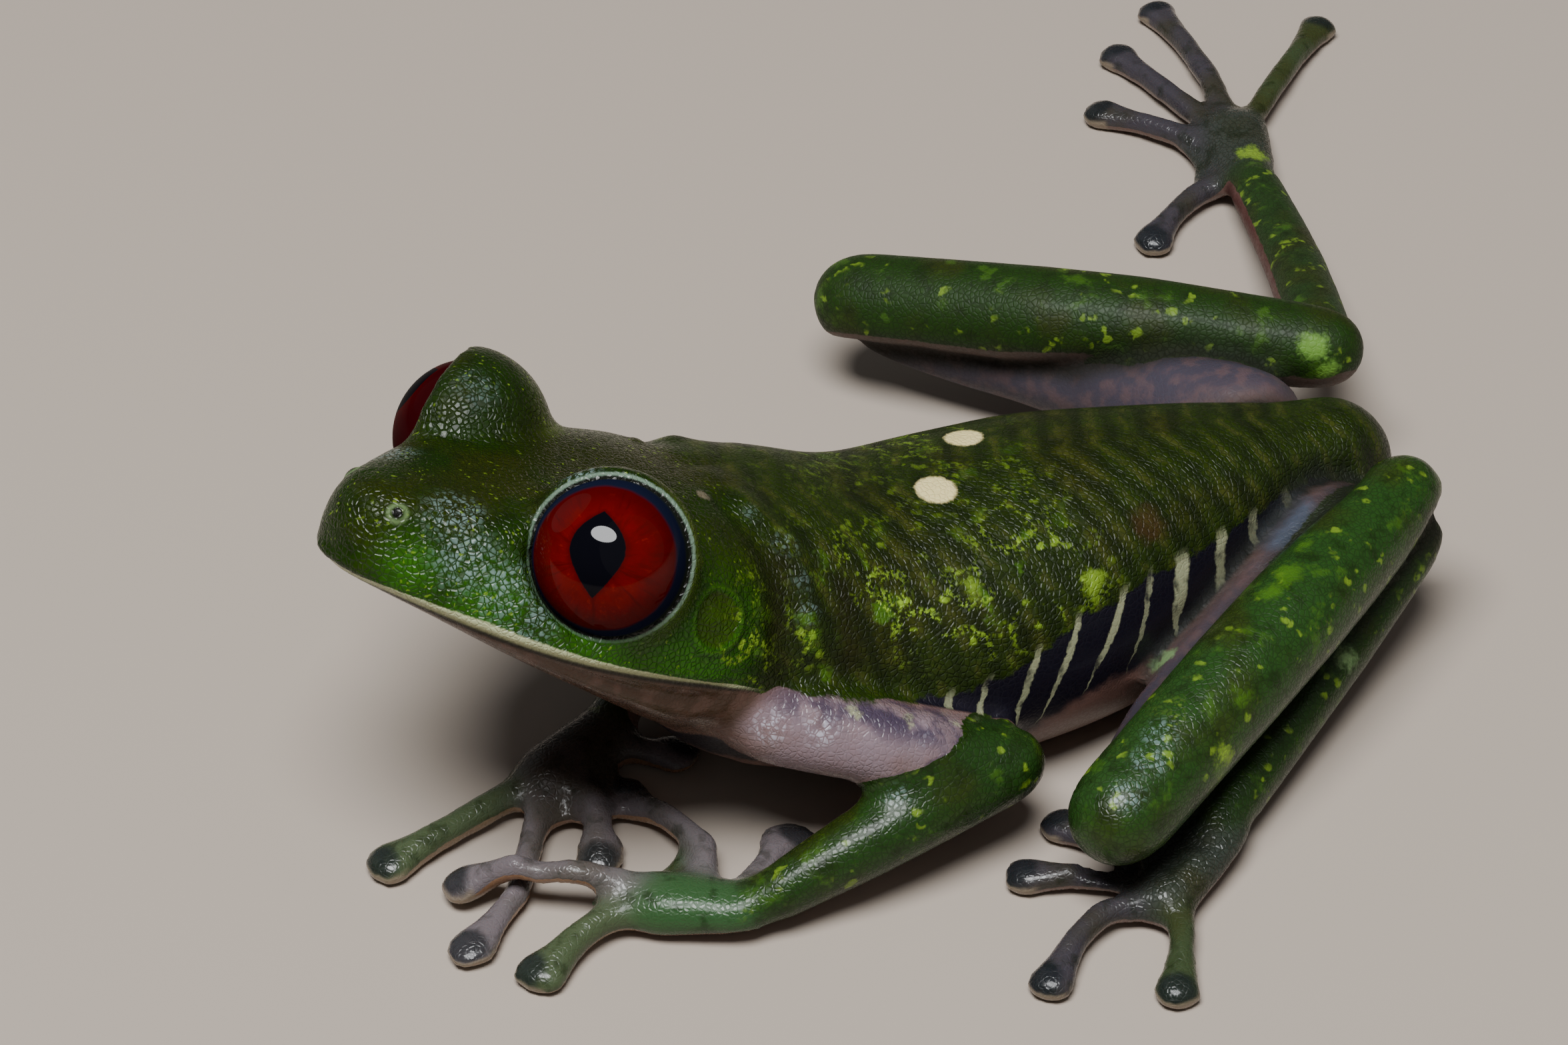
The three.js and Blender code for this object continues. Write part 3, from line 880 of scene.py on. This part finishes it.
# Wraps a node's output, so that shader maths is written as plain expressions.
class Signal:
    def __init__(self, tree, socket=None):
        self.tree = tree
        self.socket = socket

    def make(self, kind, settings=None, inputs=None, output=0):
        node = self.tree.nodes.new(kind)
        for name, value in (settings or {}).items():
            setattr(node, name, value)
        for name, value in (inputs or {}).items():
            if isinstance(value, Signal):
                self.tree.links.new(value.socket, node.inputs[name])
            else:
                node.inputs[name].default_value = value
        return Signal(self.tree, node.outputs[output])

    def maths(self, operation, *values):
        return self.make("ShaderNodeMath", {"operation": operation}, dict(enumerate(values)))

    def __add__(self, other):
        return self.maths("ADD", self, other)

    def __sub__(self, other):
        return self.maths("SUBTRACT", self, other)

    def __rsub__(self, other):
        return self.maths("SUBTRACT", other, self)

    def __neg__(self):
        return self.maths("MULTIPLY", self, -1)

    def __mul__(self, other):
        return self.maths("MULTIPLY", self, other)

    def __truediv__(self, other):
        return self.maths("DIVIDE", self, other)

    def __pow__(self, other):
        return self.maths("POWER", self, other)

    __radd__ = __add__
    __rmul__ = __mul__

    def absolute(self):
        return self.maths("ABSOLUTE", self)

    def sine(self):
        return self.maths("SINE", self)

    def least(self, other):
        return self.maths("MINIMUM", self, other)

    def most(self, other):
        return self.maths("MAXIMUM", self, other)

    # Goes smoothly from 0 at low to 1 at high, which may be the smaller of the two.
    def ease(self, low, high):
        sockets = {"Value": self, "From Min": low, "From Max": high}
        return self.make("ShaderNodeMapRange", {"interpolation_type": "SMOOTHSTEP"}, sockets)

    # 1 where a distance is no further from a radius than width, with a soft edge.
    def around(self, radius, width, soft):
        return (self - radius).absolute().ease(width + soft, width - soft)

    # Of the Mix node, sockets 6 and 7 and output 2 are the ones for colours.
    def mixed(self, mask, first, second):
        return self.make("ShaderNodeMix", {"data_type": "RGBA"}, {0: mask, 6: first, 7: second}, 2)

    def tinted(self, colour, mask):
        return self.mixed(mask, self, colour)

    def scaled(self, factor):
        return self.make("ShaderNodeVectorMath", {"operation": "SCALE"}, {0: self, "Scale": factor})

    def dot(self, axis):
        return self.make("ShaderNodeVectorMath", {"operation": "DOT_PRODUCT"}, {0: self, 1: tuple(axis)}, 1)

    def moved(self, other):
        return self.make("ShaderNodeVectorMath", {"operation": "ADD"}, {0: self, 1: other})

    def less(self, place):
        return self.make("ShaderNodeVectorMath", {"operation": "SUBTRACT"}, {0: self, 1: tuple(place)})

    def length(self):
        return self.make("ShaderNodeVectorMath", {"operation": "LENGTH"}, {0: self}, 1)

    def noise(self, scale, detail, roughness=0.5):
        sockets = {"Vector": self, "Scale": scale, "Detail": detail, "Roughness": roughness}
        return self.make("ShaderNodeTexNoise", {}, sockets)

    def cells(self, scale, feature="F1"):
        return self.make("ShaderNodeTexVoronoi", {"feature": feature}, {"Vector": self, "Scale": scale})

    # A field written on the mesh: output 2 is a number, and output 0 a colour.
    def field(self, name, output=2):
        return self.make("ShaderNodeAttribute", {"attribute_name": name}, {}, output)


# Returns the material, a signal to start from, and the place on the piece in millimetres.
def newMaterial(name, constants):
    made = bpy.data.materials.new(name)
    made.use_nodes = True
    shader = made.node_tree.nodes["Principled BSDF"]
    for socket, value in constants.items():
        shader.inputs[socket].default_value = value
    start = Signal(made.node_tree)
    place = start.make("ShaderNodeTexCoord", {}, {}, "Object").scaled(1 / mm)
    return made, start, place


def plug(made, **signals):
    shader = made.node_tree.nodes["Principled BSDF"]
    for name, signal in signals.items():
        made.node_tree.links.new(signal.socket, shader.inputs[name.replace("_", " ")])


skinFinish = {
    "Roughness": 0.35,
    "IOR": 1.4,
    "Specular IOR Level": 0.36,
    "Coat Roughness": 0.1,
    "Coat IOR": 1.42,
    "Subsurface Weight": 0.05,
    "Subsurface Scale": 0.0006,
}
skinColours = {
    "olive": (0.032, 0.029, 0.002, 1),
    "paleOlive": (0.060, 0.066, 0.010, 1),
    "crown": (0.0165, 0.0175, 0.0008, 1),
    "neck": (0.0095, 0.0095, 0.0006, 1),
    "bright": (0.024, 0.115, 0.002, 1),
    "dark": (0.005, 0.010, 0.0008, 1),
    "speck": (0.27, 0.44, 0.030, 1),
    "leaf": (0.070, 0.175, 0.010, 1),
    "cream": (0.84, 0.71, 0.33, 1),
    "stripe": (0.44, 0.47, 0.27, 1),
    "bar": (0.36, 0.37, 0.22, 1),
    "indigo": (0.0075, 0.006, 0.012, 1),
    "purple": (0.036, 0.025, 0.055, 1),
    "flesh": (0.20, 0.105, 0.085, 1),
    # the next two are colours of painted highlights
    "glint": (0.23, 0.33, 0.32, 1),
    "glintPale": (0.52, 0.50, 0.58, 1),
    "lidRing": (0.15, 0.22, 0.16, 1),
    "behindEye": (0.12, 0.17, 0.02, 1),
    "nostril": (0.004, 0.004, 0.003, 1),
    "nostrilRing": (0.16, 0.24, 0.10, 1),
    "pad": (0.008, 0.011, 0.013, 1),
    "padRim": (0.24, 0.19, 0.13, 1),
    "smudge": (0.050, 0.022, 0.007, 1),
    "pale": (0.16, 0.13, 0.085, 1),
    "paleGreen": (0.26, 0.42, 0.17, 1),
    "heelGreen": (0.19, 0.40, 0.055, 1),
    "lilac": (0.30, 0.24, 0.30, 1),
    "groin": (0.075, 0.095, 0.140, 1),
    "shadow": (0.006, 0.007, 0.004, 1),
}
# Bars of the flank: how far in front of the rear end, lean forward, half width, strength
flankBars = [
    (28.6, 0.7, 0.16, 0.6),
    (26.6, 0.6, 0.17, 0.75),
    (24.0, 0.55, 0.19, 0.85),
    (21.5, 0.7, 0.2, 0.85),
    (18.9, 0.7, 0.21, 0.85),
    (17.1, 0.5, 0.14, 0.6),
    (15.1, 0.3, 0.38, 1.0),
    (12.5, 0.25, 0.28, 0.95),
    (10.3, 0.2, 0.2, 0.75),
    (8.0, 0.1, 0.18, 0.5),
]
barLength = 3.7
# Round marks: to the left of the spine, in front of the rear end, height, radius
backSpots = [(-3.1, 22.1, 12.34, 0.95), (0.5, 25.45, 13.02, 1.0)]
smudge = (5.03, 16.4, 10.93, 1.0)
groin = (4.83, 8.85, 8.39, 1.9)
# Dots of the head: place in its axes, colour, radius
headDots = [((4.87, -4.05, -0.19), "speck", 0.24), ((3.0, 6.82, 1.8), "pale", 0.36)]
# Green and yellow-green blotches of the legs, flank and neck, placed as the round marks are
blotches = [
    (-6.1, 0.8, 8.5, 0.7, "heelGreen"),
    (-5.5, 0.3, 7.4, 0.5, "heelGreen"),
    (-28.9, -8.7, 2.4, 0.7, "speck"),
    (11.2, 8.5, 4.4, 0.5, "paleGreen"),
    (10.2, 11.5, 10.1, 0.6, "leaf"),
    (11.0, 12.9, 10.0, 0.5, "leaf"),
    (8.7, 9.8, 10.0, 0.4, "leaf"),
    (17.2, 18.9, 6.0, 0.55, "leaf"),
    (16.9, 18.6, 6.8, 0.45, "speck"),
    (15.4, 16.9, 8.4, 0.3, "leaf"),
    (6.9, 20.2, 10.3, 0.42, "speck"),
    (5.9, 26.2, 11.4, 0.42, "speck"),
    (5.0, 28.2, 12.0, 0.25, "speck"),
    (5.5, 30.0, 11.9, 0.25, "leaf"),
    (6.2, 34.9, 12.0, 0.5, "leaf"),
    (7.0, 34.6, 10.2, 0.35, "leaf"),
]
# Cream and pale marks that lie over the boundary of the green
edgeMarks = [
    (8.8, 17.1, 5.9, 0.5, "paleGreen"),
    (8.5, 17.6, 5.3, 0.3, "paleGreen"),
    (9.0, 34.05, 9.35, 0.2, "bar"),
    (9.35, 33.95, 9.2, 0.16, "bar"),
    (9.7, 31.5, 8.4, 0.22, "bar"),
    (10.1, 31.6, 8.3, 0.16, "bar"),
    (10.2, 29.1, 7.7, 0.18, "bar"),
]
# Brown-olive regions of the crown and behind the eyes: place in the head's axes, reach
brownMarks = [((0.0, 3.0, 2.0), 6.0), ((6.5, 6.8, 0.9), 3.2), ((-6.5, 6.8, 0.9), 3.2)]
bands = {"spacing": 1.75, "slant": 0.43, "wander": 0.9, "dark": 0.7, "pale": 0.55}  # across the back
# Edges of round marks: how far they fade outwards and inwards, how much they wander, how rough they
# are, and how strong the mark is
markEdges = {
    "backSpot": (0.12, 0.12, 0, 0.25, 1),
    "smudge": (0.3, 0.6, 1.4, 0, 0.6),
    "blotch": (0.35, 0.3, 1.3, 0.7, 0.6),
    "headDot": (0.1, 0.08, 0, 0.2, 0.8),
    "groin": (0.4, 0.6, 1, 0, 1),
    "edgeMark": (0.2, 0.2, 0.6, 0.5, 0.85),
}
# Sizes of the patterns, as scales per millimetre
patternScale = {
    "broad": 0.22,
    "middling": 1.1,
    "fine": 5.0,
    "granules": 3.6,
    "glints": 3.2,
    "drift": 1.6,
    "small": 1.1,
    "rings": 0.36,
    "patches": 0.55,
    "clusters": 0.5,
    "headDots": 2.3,
    "armEdge": 0.7,
}
# How strongly each colour is laid on
strength = {
    "olive": 0.5,
    "crown": 0.75,
    "mottle": 0.5,
    "grooves": 0.4,
    "glint": 0.6,
    "patches": 0.7,
    "small": 0.9,
    "rings": 0.8,
    "headDots": 0.4,
    "limbPatches": 0.35,
    "limbSpecks": 0.45,
    "flesh": 0.25,
    "lilac": 0.4,
    "armEdge": 0.9,
    "armGlint": 0.8,
    "mouthShadow": 0.8,
    "nostrilRing": 0.75,
    "behindEye": 0.3,
    "eardrum": 0.45,
    "eardrumRim": 0.3,
    "eardrumShadow": 0.45,
    "padRim": 0.8,
    "pad": 0.82,
    "crease": 0.9,
}
# Rings as radius, width and fade, and discs as where their edge begins and where it is full, in millimetres
trimForm = {
    "nostrilRing": (0.42, 0.1, 0.12),
    "nostril": (0.3, 0.18),
    "behindEye": (1.1, 0.4),  # these three are measured from the eye's surface
    "lidRing": (0.33, 0.25),
    "lidShadow": (0.2, 0.1),
    "lidRim": (0.3, 0.15),  # behind the plane of the rim
    "eardrum": (1.4, 1.2),
    "eardrumRim": (1.52, 0.06, 0.1),
    "eardrumShadow": (1.78, 0.05, 0.12),
}
# Share of each field in the skin's roughness, and what is there without them
skinRoughness = {"grooves": 0.15, "fine": 0.16, "onTrunk": 0.14, "onLimb": 0.05, "crease": 0.4, "dull": 0.24}
roughnessBase = 0.14


def beside(mark):
    return spine + mark[0], rear - mark[1], mark[2]


def onSkin(point):
    return skin.closest_point_on_mesh(point * mm)[1] / mm


hole = sculpt["nostril"]["place"]
nostrils = {side: onSkin(headToWorld((hole[0] * sides[side], hole[1], hole[2]))) for side in sides}
skinFields = (
    "green drop onTrunk onHead onLimb onArm above lip specks neckBands cheek glints pad smooth crease dull"
).split()


# What the steps of the skin's finish share: its fields, its place, three noises, the granules and the mask
# of the painted glints.
def readSkin(start, place, scale):
    read = SimpleNamespace(place=place, **{name: start.field(name) for name in skinFields})
    read.broad = place.noise(scale["broad"], 3)
    read.middling = place.noise(scale["middling"], 3)
    read.fine = place.noise(scale["fine"], 2)
    read.wander = read.middling - 0.5
    read.granules = place.cells(scale["granules"], "DISTANCE_TO_EDGE")
    read.grooves = read.granules.ease(0.15, 0.02)
    patches = place.noise(scale["glints"], 3).ease(0.4, 0.62)
    read.glinting = read.glints.ease(0.2, 0.9) * read.granules.ease(0.04, 0.14) * patches
    return read


# Lays a round mark on a colour, with the kind of edge that markEdges gives.
def spotted(read, colour, tint, point, size, kind, mask=1):
    outwards, inwards, wander, rough, strong = markEdges[kind]
    off = read.place.less(point).length()
    if wander:
        off = off + read.wander * wander
    if rough:
        off = off + (read.fine - 0.5) * rough
    return colour.tinted(tint, off.ease(size + outwards, size - inwards) * (mask * strong))


# Greens and olive of the upper side, with darker bands across the back, painted shade in the grooves between
# the granules and painted glints on them.
def greenSide(read, upper, colours):
    clouds = read.broad.ease(0.46, 0.66) * (1 - read.cheek)
    upper = upper.tinted(colours["olive"], clouds * strength["olive"])
    for at, reach in brownMarks:
        off = read.place.less(headToWorld(at)).length() + read.wander
        upper = upper.tinted(colours["crown"], off.ease(reach, reach * 0.4) * strength["crown"])
    upper = upper.tinted(colours["dark"], read.middling.ease(0.5, 0.3) * strength["mottle"])
    upper = upper.tinted(colours["bright"], read.cheek * (read.middling * 0.8 + 0.5) * read.onHead)
    fromSpine = (read.place.dot((1, 0, 0)) - spine).absolute()
    along = read.place.dot((0, 1, 0)) - fromSpine * bands["slant"] + read.wander * bands["wander"]
    wave = (along * (2 * math.pi / bands["spacing"])).sine()
    band = wave.ease(-0.2, 0.9) * read.onTrunk * read.broad.ease(0.3, 0.55)
    upper = upper.tinted(colours["dark"], band * bands["dark"])
    between = wave.ease(-0.5, -0.95) * read.middling.ease(0.4, 0.62) * read.onTrunk
    upper = upper.tinted(colours["paleOlive"], between * bands["pale"])
    # Painted shade in the grooves between the granules
    upper = upper.tinted(colours["dark"], read.grooves * (1 - read.smooth) * strength["grooves"])
    # Painted highlight: pale glints painted on the granules, weaker on the right lid and leg
    return upper.tinted(colours["glint"], read.glinting * (1 - read.dull) * strength["glint"])


# Yellow-green specks, rings and patches, and the dark bands of the neck over them.
def speckledSide(read, upper, colours, scale):
    drifted = read.place.moved(read.place.noise(scale["drift"], 2))
    small = drifted.cells(scale["small"]).ease(0.34, 0.18)
    ring = drifted.cells(scale["rings"]).around(0.5, 0.05, 0.05) * read.fine.ease(0.45, 0.6)
    patch = read.place.noise(scale["patches"], 4, 0.62).ease(0.57, 0.68)
    clusters = read.place.noise(scale["clusters"], 3)
    picked = small * clusters.ease(0.5, 0.6)
    ringed = ring * clusters.ease(0.4, 0.5)
    dots = drifted.cells(scale["headDots"]).ease(0.24, 0.12) * clusters.ease(0.44, 0.56)
    upper = upper.tinted(colours["leaf"], patch * read.specks * strength["patches"])
    marks = picked * strength["small"] + ringed * strength["rings"]
    upper = upper.tinted(colours["speck"], marks * read.specks)
    upper = upper.tinted(colours["speck"], dots * read.onHead * strength["headDots"])
    upper = upper.tinted(colours["neck"], read.neckBands * (read.middling * 0.6 + 0.55))
    upper = upper.tinted(colours["leaf"], patch * read.onLimb * strength["limbPatches"])
    return upper.tinted(colours["speck"], picked * read.onLimb * strength["limbSpecks"])


# The marks that are placed singly on the upper side.
def markedSide(read, upper, colours):
    for mark in backSpots:
        upper = spotted(read, upper, colours["cream"], beside(mark), mark[3], "backSpot")
    upper = spotted(read, upper, colours["smudge"], beside(smudge), smudge[3], "smudge")
    for mark in blotches:
        upper = spotted(read, upper, colours[mark[4]], beside(mark), mark[3], "blotch")
    for at, tint, size in headDots:
        upper = spotted(read, upper, colours[tint], headToWorld(at), size, "headDot")
    return upper


# Pale belly, lilac arms with a purple edge and painted glints, indigo flank and blue groin.
def lowerSide(read, lower, colours, scale):
    lower = lower.tinted(colours["flesh"], read.middling.ease(0.42, 0.66) * strength["flesh"])
    lower = lower.tinted(colours["lilac"], read.broad.ease(0.4, 0.6) * read.onArm * strength["lilac"])
    edging = read.green.ease(-0.5, -0.02) * read.place.noise(scale["armEdge"], 3).ease(0.36, 0.56)
    lower = lower.tinted(colours["purple"], edging * read.onArm * strength["armEdge"])
    # Painted highlight: pale glints painted on the arm
    lower = lower.tinted(colours["glintPale"], read.glinting * read.onArm * strength["armGlint"])
    low = read.drop + read.wander * 1.2
    lower = lower.tinted(colours["flesh"], low.ease(6.1, 5.0) * read.onTrunk)
    lower = lower.tinted(colours["indigo"], low.ease(4.6, 3.6) * read.onTrunk.ease(0.3, 0.6))
    return spotted(read, lower, colours["groin"], beside(groin), groin[3], "groin", 1 - read.onTrunk)


# Cream bars of the flank, and the cream dashes over the arm.
def barred(read, colour, colours):
    ahead = rear - read.place.dot((0, 1, 0))
    onFlank = read.onTrunk.ease(0.4, 0.7) * read.drop.ease(-0.5, 0.25)
    onFlank = onFlank * read.drop.ease(barLength + 0.4, barLength - 0.4)
    for at, lean, half, strong in flankBars:
        off = ahead - at - read.drop * lean + read.wander * 0.7 + (read.fine - 0.5) * 0.18
        taper = read.drop.ease(barLength + 0.3, barLength * 0.4) * half + 0.03
        bar = (off.absolute() / taper).ease(1.3, 0.7) * onFlank
        colour = colour.tinted(colours["bar"], bar * strong * read.middling.ease(0.25, 0.5))
    for mark in edgeMarks:
        colour = spotted(read, colour, colours[mark[4]], beside(mark), mark[3], "edgeMark")
    return colour


def lipped(read, colour, colours):
    stripe = (read.lip + (read.fine - 0.5) * 0.25).ease(-0.08, 0.12) * read.above.ease(-0.16, 0.02)
    colour = colour.tinted(colours["stripe"], stripe * read.onHead)
    shade = read.above.around(-0.12, 0.1, 0.08) * read.lip.ease(0.1, 0.6) * read.onHead
    return colour.tinted(colours["shadow"], shade * strength["mouthShadow"])


# Nostril, lid and eardrum of one side, with painted shade in the nostril and painted light on the upper side
# of the lid's ring.
def headTrim(read, colour, colours, side, trim):
    off = read.place.less(nostrils[side]).length()
    ring = off.around(*trim["nostrilRing"]) * strength["nostrilRing"]
    colour = colour.tinted(colours["nostrilRing"], ring)
    # Painted shade: the nostril's pit is coloured dark
    colour = colour.tinted(colours["nostril"], off.ease(*trim["nostril"]))

    fromEye = read.place.less(eyeMiddle[side])
    off = fromEye.length() + (read.fine - 0.5) * 0.08 - eyeSize
    behind = fromEye.dot(headTurn @ Vector((0, 1, 0))).ease(0.5, 3.0) * strength["behindEye"]
    colour = colour.tinted(colours["behindEye"], off.ease(*trim["behindEye"]) * behind)
    low, high = (lidSides[side]["rim"] - depth for depth in trim["lidRim"])
    atRim = fromEye.dot(lidAxis[side]).ease(low, high)
    # Painted light: the lid's pale ring is made paler on its upper and rear side
    paintedTopLight = fromEye.dot(headTurn @ Vector((0, 0.5, 0.86))).ease(-3.5, 1.5) * 0.65 + 0.35
    colour = colour.tinted(colours["lidRing"], off.ease(*trim["lidRing"]) * atRim * paintedTopLight)
    colour = colour.tinted(colours["shadow"], off.ease(*trim["lidShadow"]) * atRim)

    off = read.place.less(middle(f"tympanum_{side}") / mm).length() + read.wander * 0.1
    colour = colour.tinted(colours["olive"], off.ease(*trim["eardrum"]) * strength["eardrum"])
    colour = colour.tinted(colours["leaf"], off.around(*trim["eardrumRim"]) * strength["eardrumRim"])
    return colour.tinted(colours["shadow"], off.around(*trim["eardrumShadow"]) * strength["eardrumShadow"])


# Height of the granules, roughness and wetness of the skin.
def surfaceOf(read, start, tip):
    raised = read.granules.least(0.2) * 3.2 + read.fine * 0.25 + read.middling * 0.35
    rough = read.green.ease(-0.2, 0.2) * 0.8 + read.onArm * 0.35 + 0.2
    height = raised * rough * (1 - read.smooth * 0.6) * (1 - read.onLimb * 0.6)
    bumped = start.make("ShaderNodeBump", {}, {"Strength": 0.55, "Distance": 0.0001, "Height": height})
    finish = sum((getattr(read, name) * share for name, share in skinRoughness.items()), roughnessBase)
    wet = read.smooth * (tip.ease(-0.6, 0) * 0.25 + 0.1) + read.green.ease(0.1, -0.1) * 0.15
    wet = wet + read.onLimb * 0.1 + (1 - read.onHead) * 0.05
    return bumped, finish, wet * (1 - read.crease) * (1 - read.dull * 0.8)


def skinMaterial(colours, scale):
    made, start, place = newMaterial("frogSkin", skinFinish)
    read = readSkin(start, place, scale)
    upper = greenSide(read, start.field("upper", 0), colours)
    upper = markedSide(read, speckledSide(read, upper, colours, scale), colours)
    lower = lowerSide(read, start.field("lower", 0), colours, scale)
    edge = read.green + read.wander * (read.onTrunk * 0.25 + 0.1) + (read.fine - 0.5) * 0.06
    colour = lower.tinted(upper, edge.ease(-0.025, 0.03))
    colour = lipped(read, barred(read, colour, colours), colours)
    for side in sides:
        colour = headTrim(read, colour, colours, side, trimForm)
    tip = read.pad + (read.fine - 0.5) * 0.1
    rim = tip.ease(-0.15, 0.05) * read.green.ease(0.65, 0.15)
    colour = colour.tinted(colours["padRim"], rim * strength["padRim"])
    dark = tip.ease(-0.05, 0.35) * read.green.ease(0.15, 0.6)
    colour = colour.tinted(colours["pad"], dark * strength["pad"])
    # Painted shade laid in the folds of the legs
    colour = colour.tinted(colours["shadow"], read.crease * strength["crease"])
    bumped, finish, wet = surfaceOf(read, start, tip)
    plug(made, Base_Color=colour, Normal=bumped, Roughness=finish, Coat_Weight=wet)
    return made


skin.data.materials.append(skinMaterial(skinColours, patternScale))
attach(skin, "root")
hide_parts(*fleshNodes)


# Eyes: the iris is turned a little from the lids, and the pupil a little from the iris

eyeForm = {
    "across": 96,
    "rows": 64,
    "iris": (0.68, -0.684, 0.264),  # the way it looks, in the head's axes
    "pupil": (0.63, -0.714, 0.307),
    "upright": (-0.359, 0.062, 0.931),
    "irisEdge": {"left": 0.885, "right": 0.85},  # of the ball's radius
    "irisRough": 0.02,
    "spokes": (4.5, 1.6),  # how fine the fibres are around the iris and along it
    "wet": {"left": 1, "right": 0.12},  # how glossy the ball is
    # where the iris begins to darken outwards, where it ends and by how much; on the right eye this is
    # painted shade
    "dim": {"left": (0.55, 0.86, 0.75), "right": (0.2, 0.7, 0.97)},
    # painted shade: the right iris is darkened as if in the shadow of its lid
    "shade": {"left": 0, "right": 0.5},  # how much darker the whole iris is
    "pupilWidth": 0.35,
    "pupilTop": 0.5,
    "pupilBottom": 0.58,
    "pupilRise": 0.04,
    "pupilTaper": (2.2, 1.5),  # above and below its widest place
    "pupilRough": 0.02,
}
eyeFinish = {
    "Roughness": 0.3,
    "Specular IOR Level": 0,
    "Coat Roughness": 0.02,
    "Coat IOR": 1.34,
}
eyeColours = {
    "red": (0.150, 0.0007, 0.0005, 1),
    "deepRed": (0.050, 0.0002, 0.0003, 1),
    "ember": (0.260, 0.012, 0.003, 1),
    "rim": (0.006, 0.008, 0.022, 1),
    "outer": (0.014, 0.018, 0.012, 1),
    "pupil": (0.002, 0.002, 0.004, 1),
}


def eyeAxes(side, ahead):
    flip = Matrix.Diagonal((sides[side], 1, 1))
    ahead = (headTurn @ (flip @ Vector(ahead))).normalized()
    upright = headTurn @ (flip @ Vector(eyeForm["upright"]))
    upright = (upright - ahead * upright.dot(ahead)).normalized()
    return upright.cross(ahead), upright, ahead


# The iris: red fibres that run outwards, darker towards its edge.
def irisColour(start, out, radius, spoke, veins, form, colours, side):
    fibres, mottle = spoke.noise(1.5, 4, 0.6), out.noise(4.0, 3)
    colour = start.mixed(mottle, colours["red"], colours["deepRed"])
    colour = colour.tinted(colours["deepRed"], fibres.ease(0.5, 0.72) * 0.7)
    colour = colour.tinted(colours["ember"], fibres.ease(0.46, 0.3) * veins.ease(0.45, 0.65) * 0.35)
    inner, outer, amount = form["dim"][side]
    # Darker towards the edge; on the right eye this, and the tint below, are painted shade
    colour = colour.tinted(colours["deepRed"], radius.ease(inner, outer) * amount)
    return colour.tinted(colours["pupil"], form["shade"][side]), fibres, mottle


# How far inside the pupil a point lies. It is widest a little above the middle and comes to a point below.
def insidePupil(out, veins, form, side):
    across, up, front = (out.dot(axis) for axis in eyeAxes(side, form["pupil"]))
    rise = up - form["pupilRise"]
    above, below = form["pupilTaper"]
    narrowing = (rise.most(0) / form["pupilTop"]) ** above + ((-rise).most(0) / form["pupilBottom"]) ** below
    width = (1 - narrowing) * form["pupilWidth"]
    return (width - across.absolute() + (veins - 0.5) * form["pupilRough"]) * front.ease(0, 0.2)


def irisMaterial(side, form, colours):
    made, start, place = newMaterial(f"iris{side.capitalize()}", eyeFinish)
    out = place.less(eyeMiddle[side]).scaled(1 / eyeSize)
    across, upright, ahead = (out.dot(axis) for axis in eyeAxes(side, form["iris"]))
    radius = (1 - ahead * ahead).most(0.0001) ** 0.5
    around, along = form["spokes"]
    turned = {0: across / radius * around, 1: upright / radius * around, 2: radius * along}
    spoke = start.make("ShaderNodeCombineXYZ", {}, turned)
    veins = out.noise(14, 3, 0.6)
    colour, fibres, mottle = irisColour(start, out, radius, spoke, veins, form, colours, side)

    inside = insidePupil(out, veins, form, side)
    colour = colour.tinted(colours["deepRed"], inside.ease(-0.09, 0.0) * 0.6)
    colour = colour.tinted(colours["pupil"], inside.ease(-0.008, 0.012))

    rim = form["irisEdge"][side]
    edge = radius + (1 - ahead).most(0).ease(1.0, 1.1) + (mottle - 0.5) * form["irisRough"]
    colour = colour.tinted(colours["rim"], edge.ease(rim - 0.025, rim + 0.02))
    colour = colour.tinted(colours["outer"], edge.ease(0.96, 0.99))
    coat = ahead.ease(0.3, 0.8) * (upright.ease(-0.5, 0.05) * 0.65 + 0.35) * form["wet"][side]
    height = fibres * 0.6 + veins * 0.4
    bumped = start.make("ShaderNodeBump", {}, {"Strength": 0.25, "Distance": 0.00005, "Height": height})
    plug(made, Base_Color=colour, Normal=bumped, Roughness=veins * 0.2 + 0.2, Coat_Weight=coat)
    return made


def buildEye(side, form):
    ball = bmesh.new()
    bmesh.ops.create_uvsphere(ball, u_segments=form["across"], v_segments=form["rows"], radius=eyeSize)
    bmesh.ops.translate(ball, vec=eyeMiddle[side], verts=ball.verts)
    bmesh.ops.scale(ball, vec=(mm,) * 3, verts=ball.verts)
    eye = objectFrom(ball, f"eye{side.capitalize()}")
    for face in eye.data.polygons:
        face.use_smooth = True
    eye.data.materials.append(irisMaterial(side, form, eyeColours))
    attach(eye, "root")
    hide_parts(f"eye_{side}")


for side in sides:
    buildEye(side, eyeForm)
print("eyes ready")
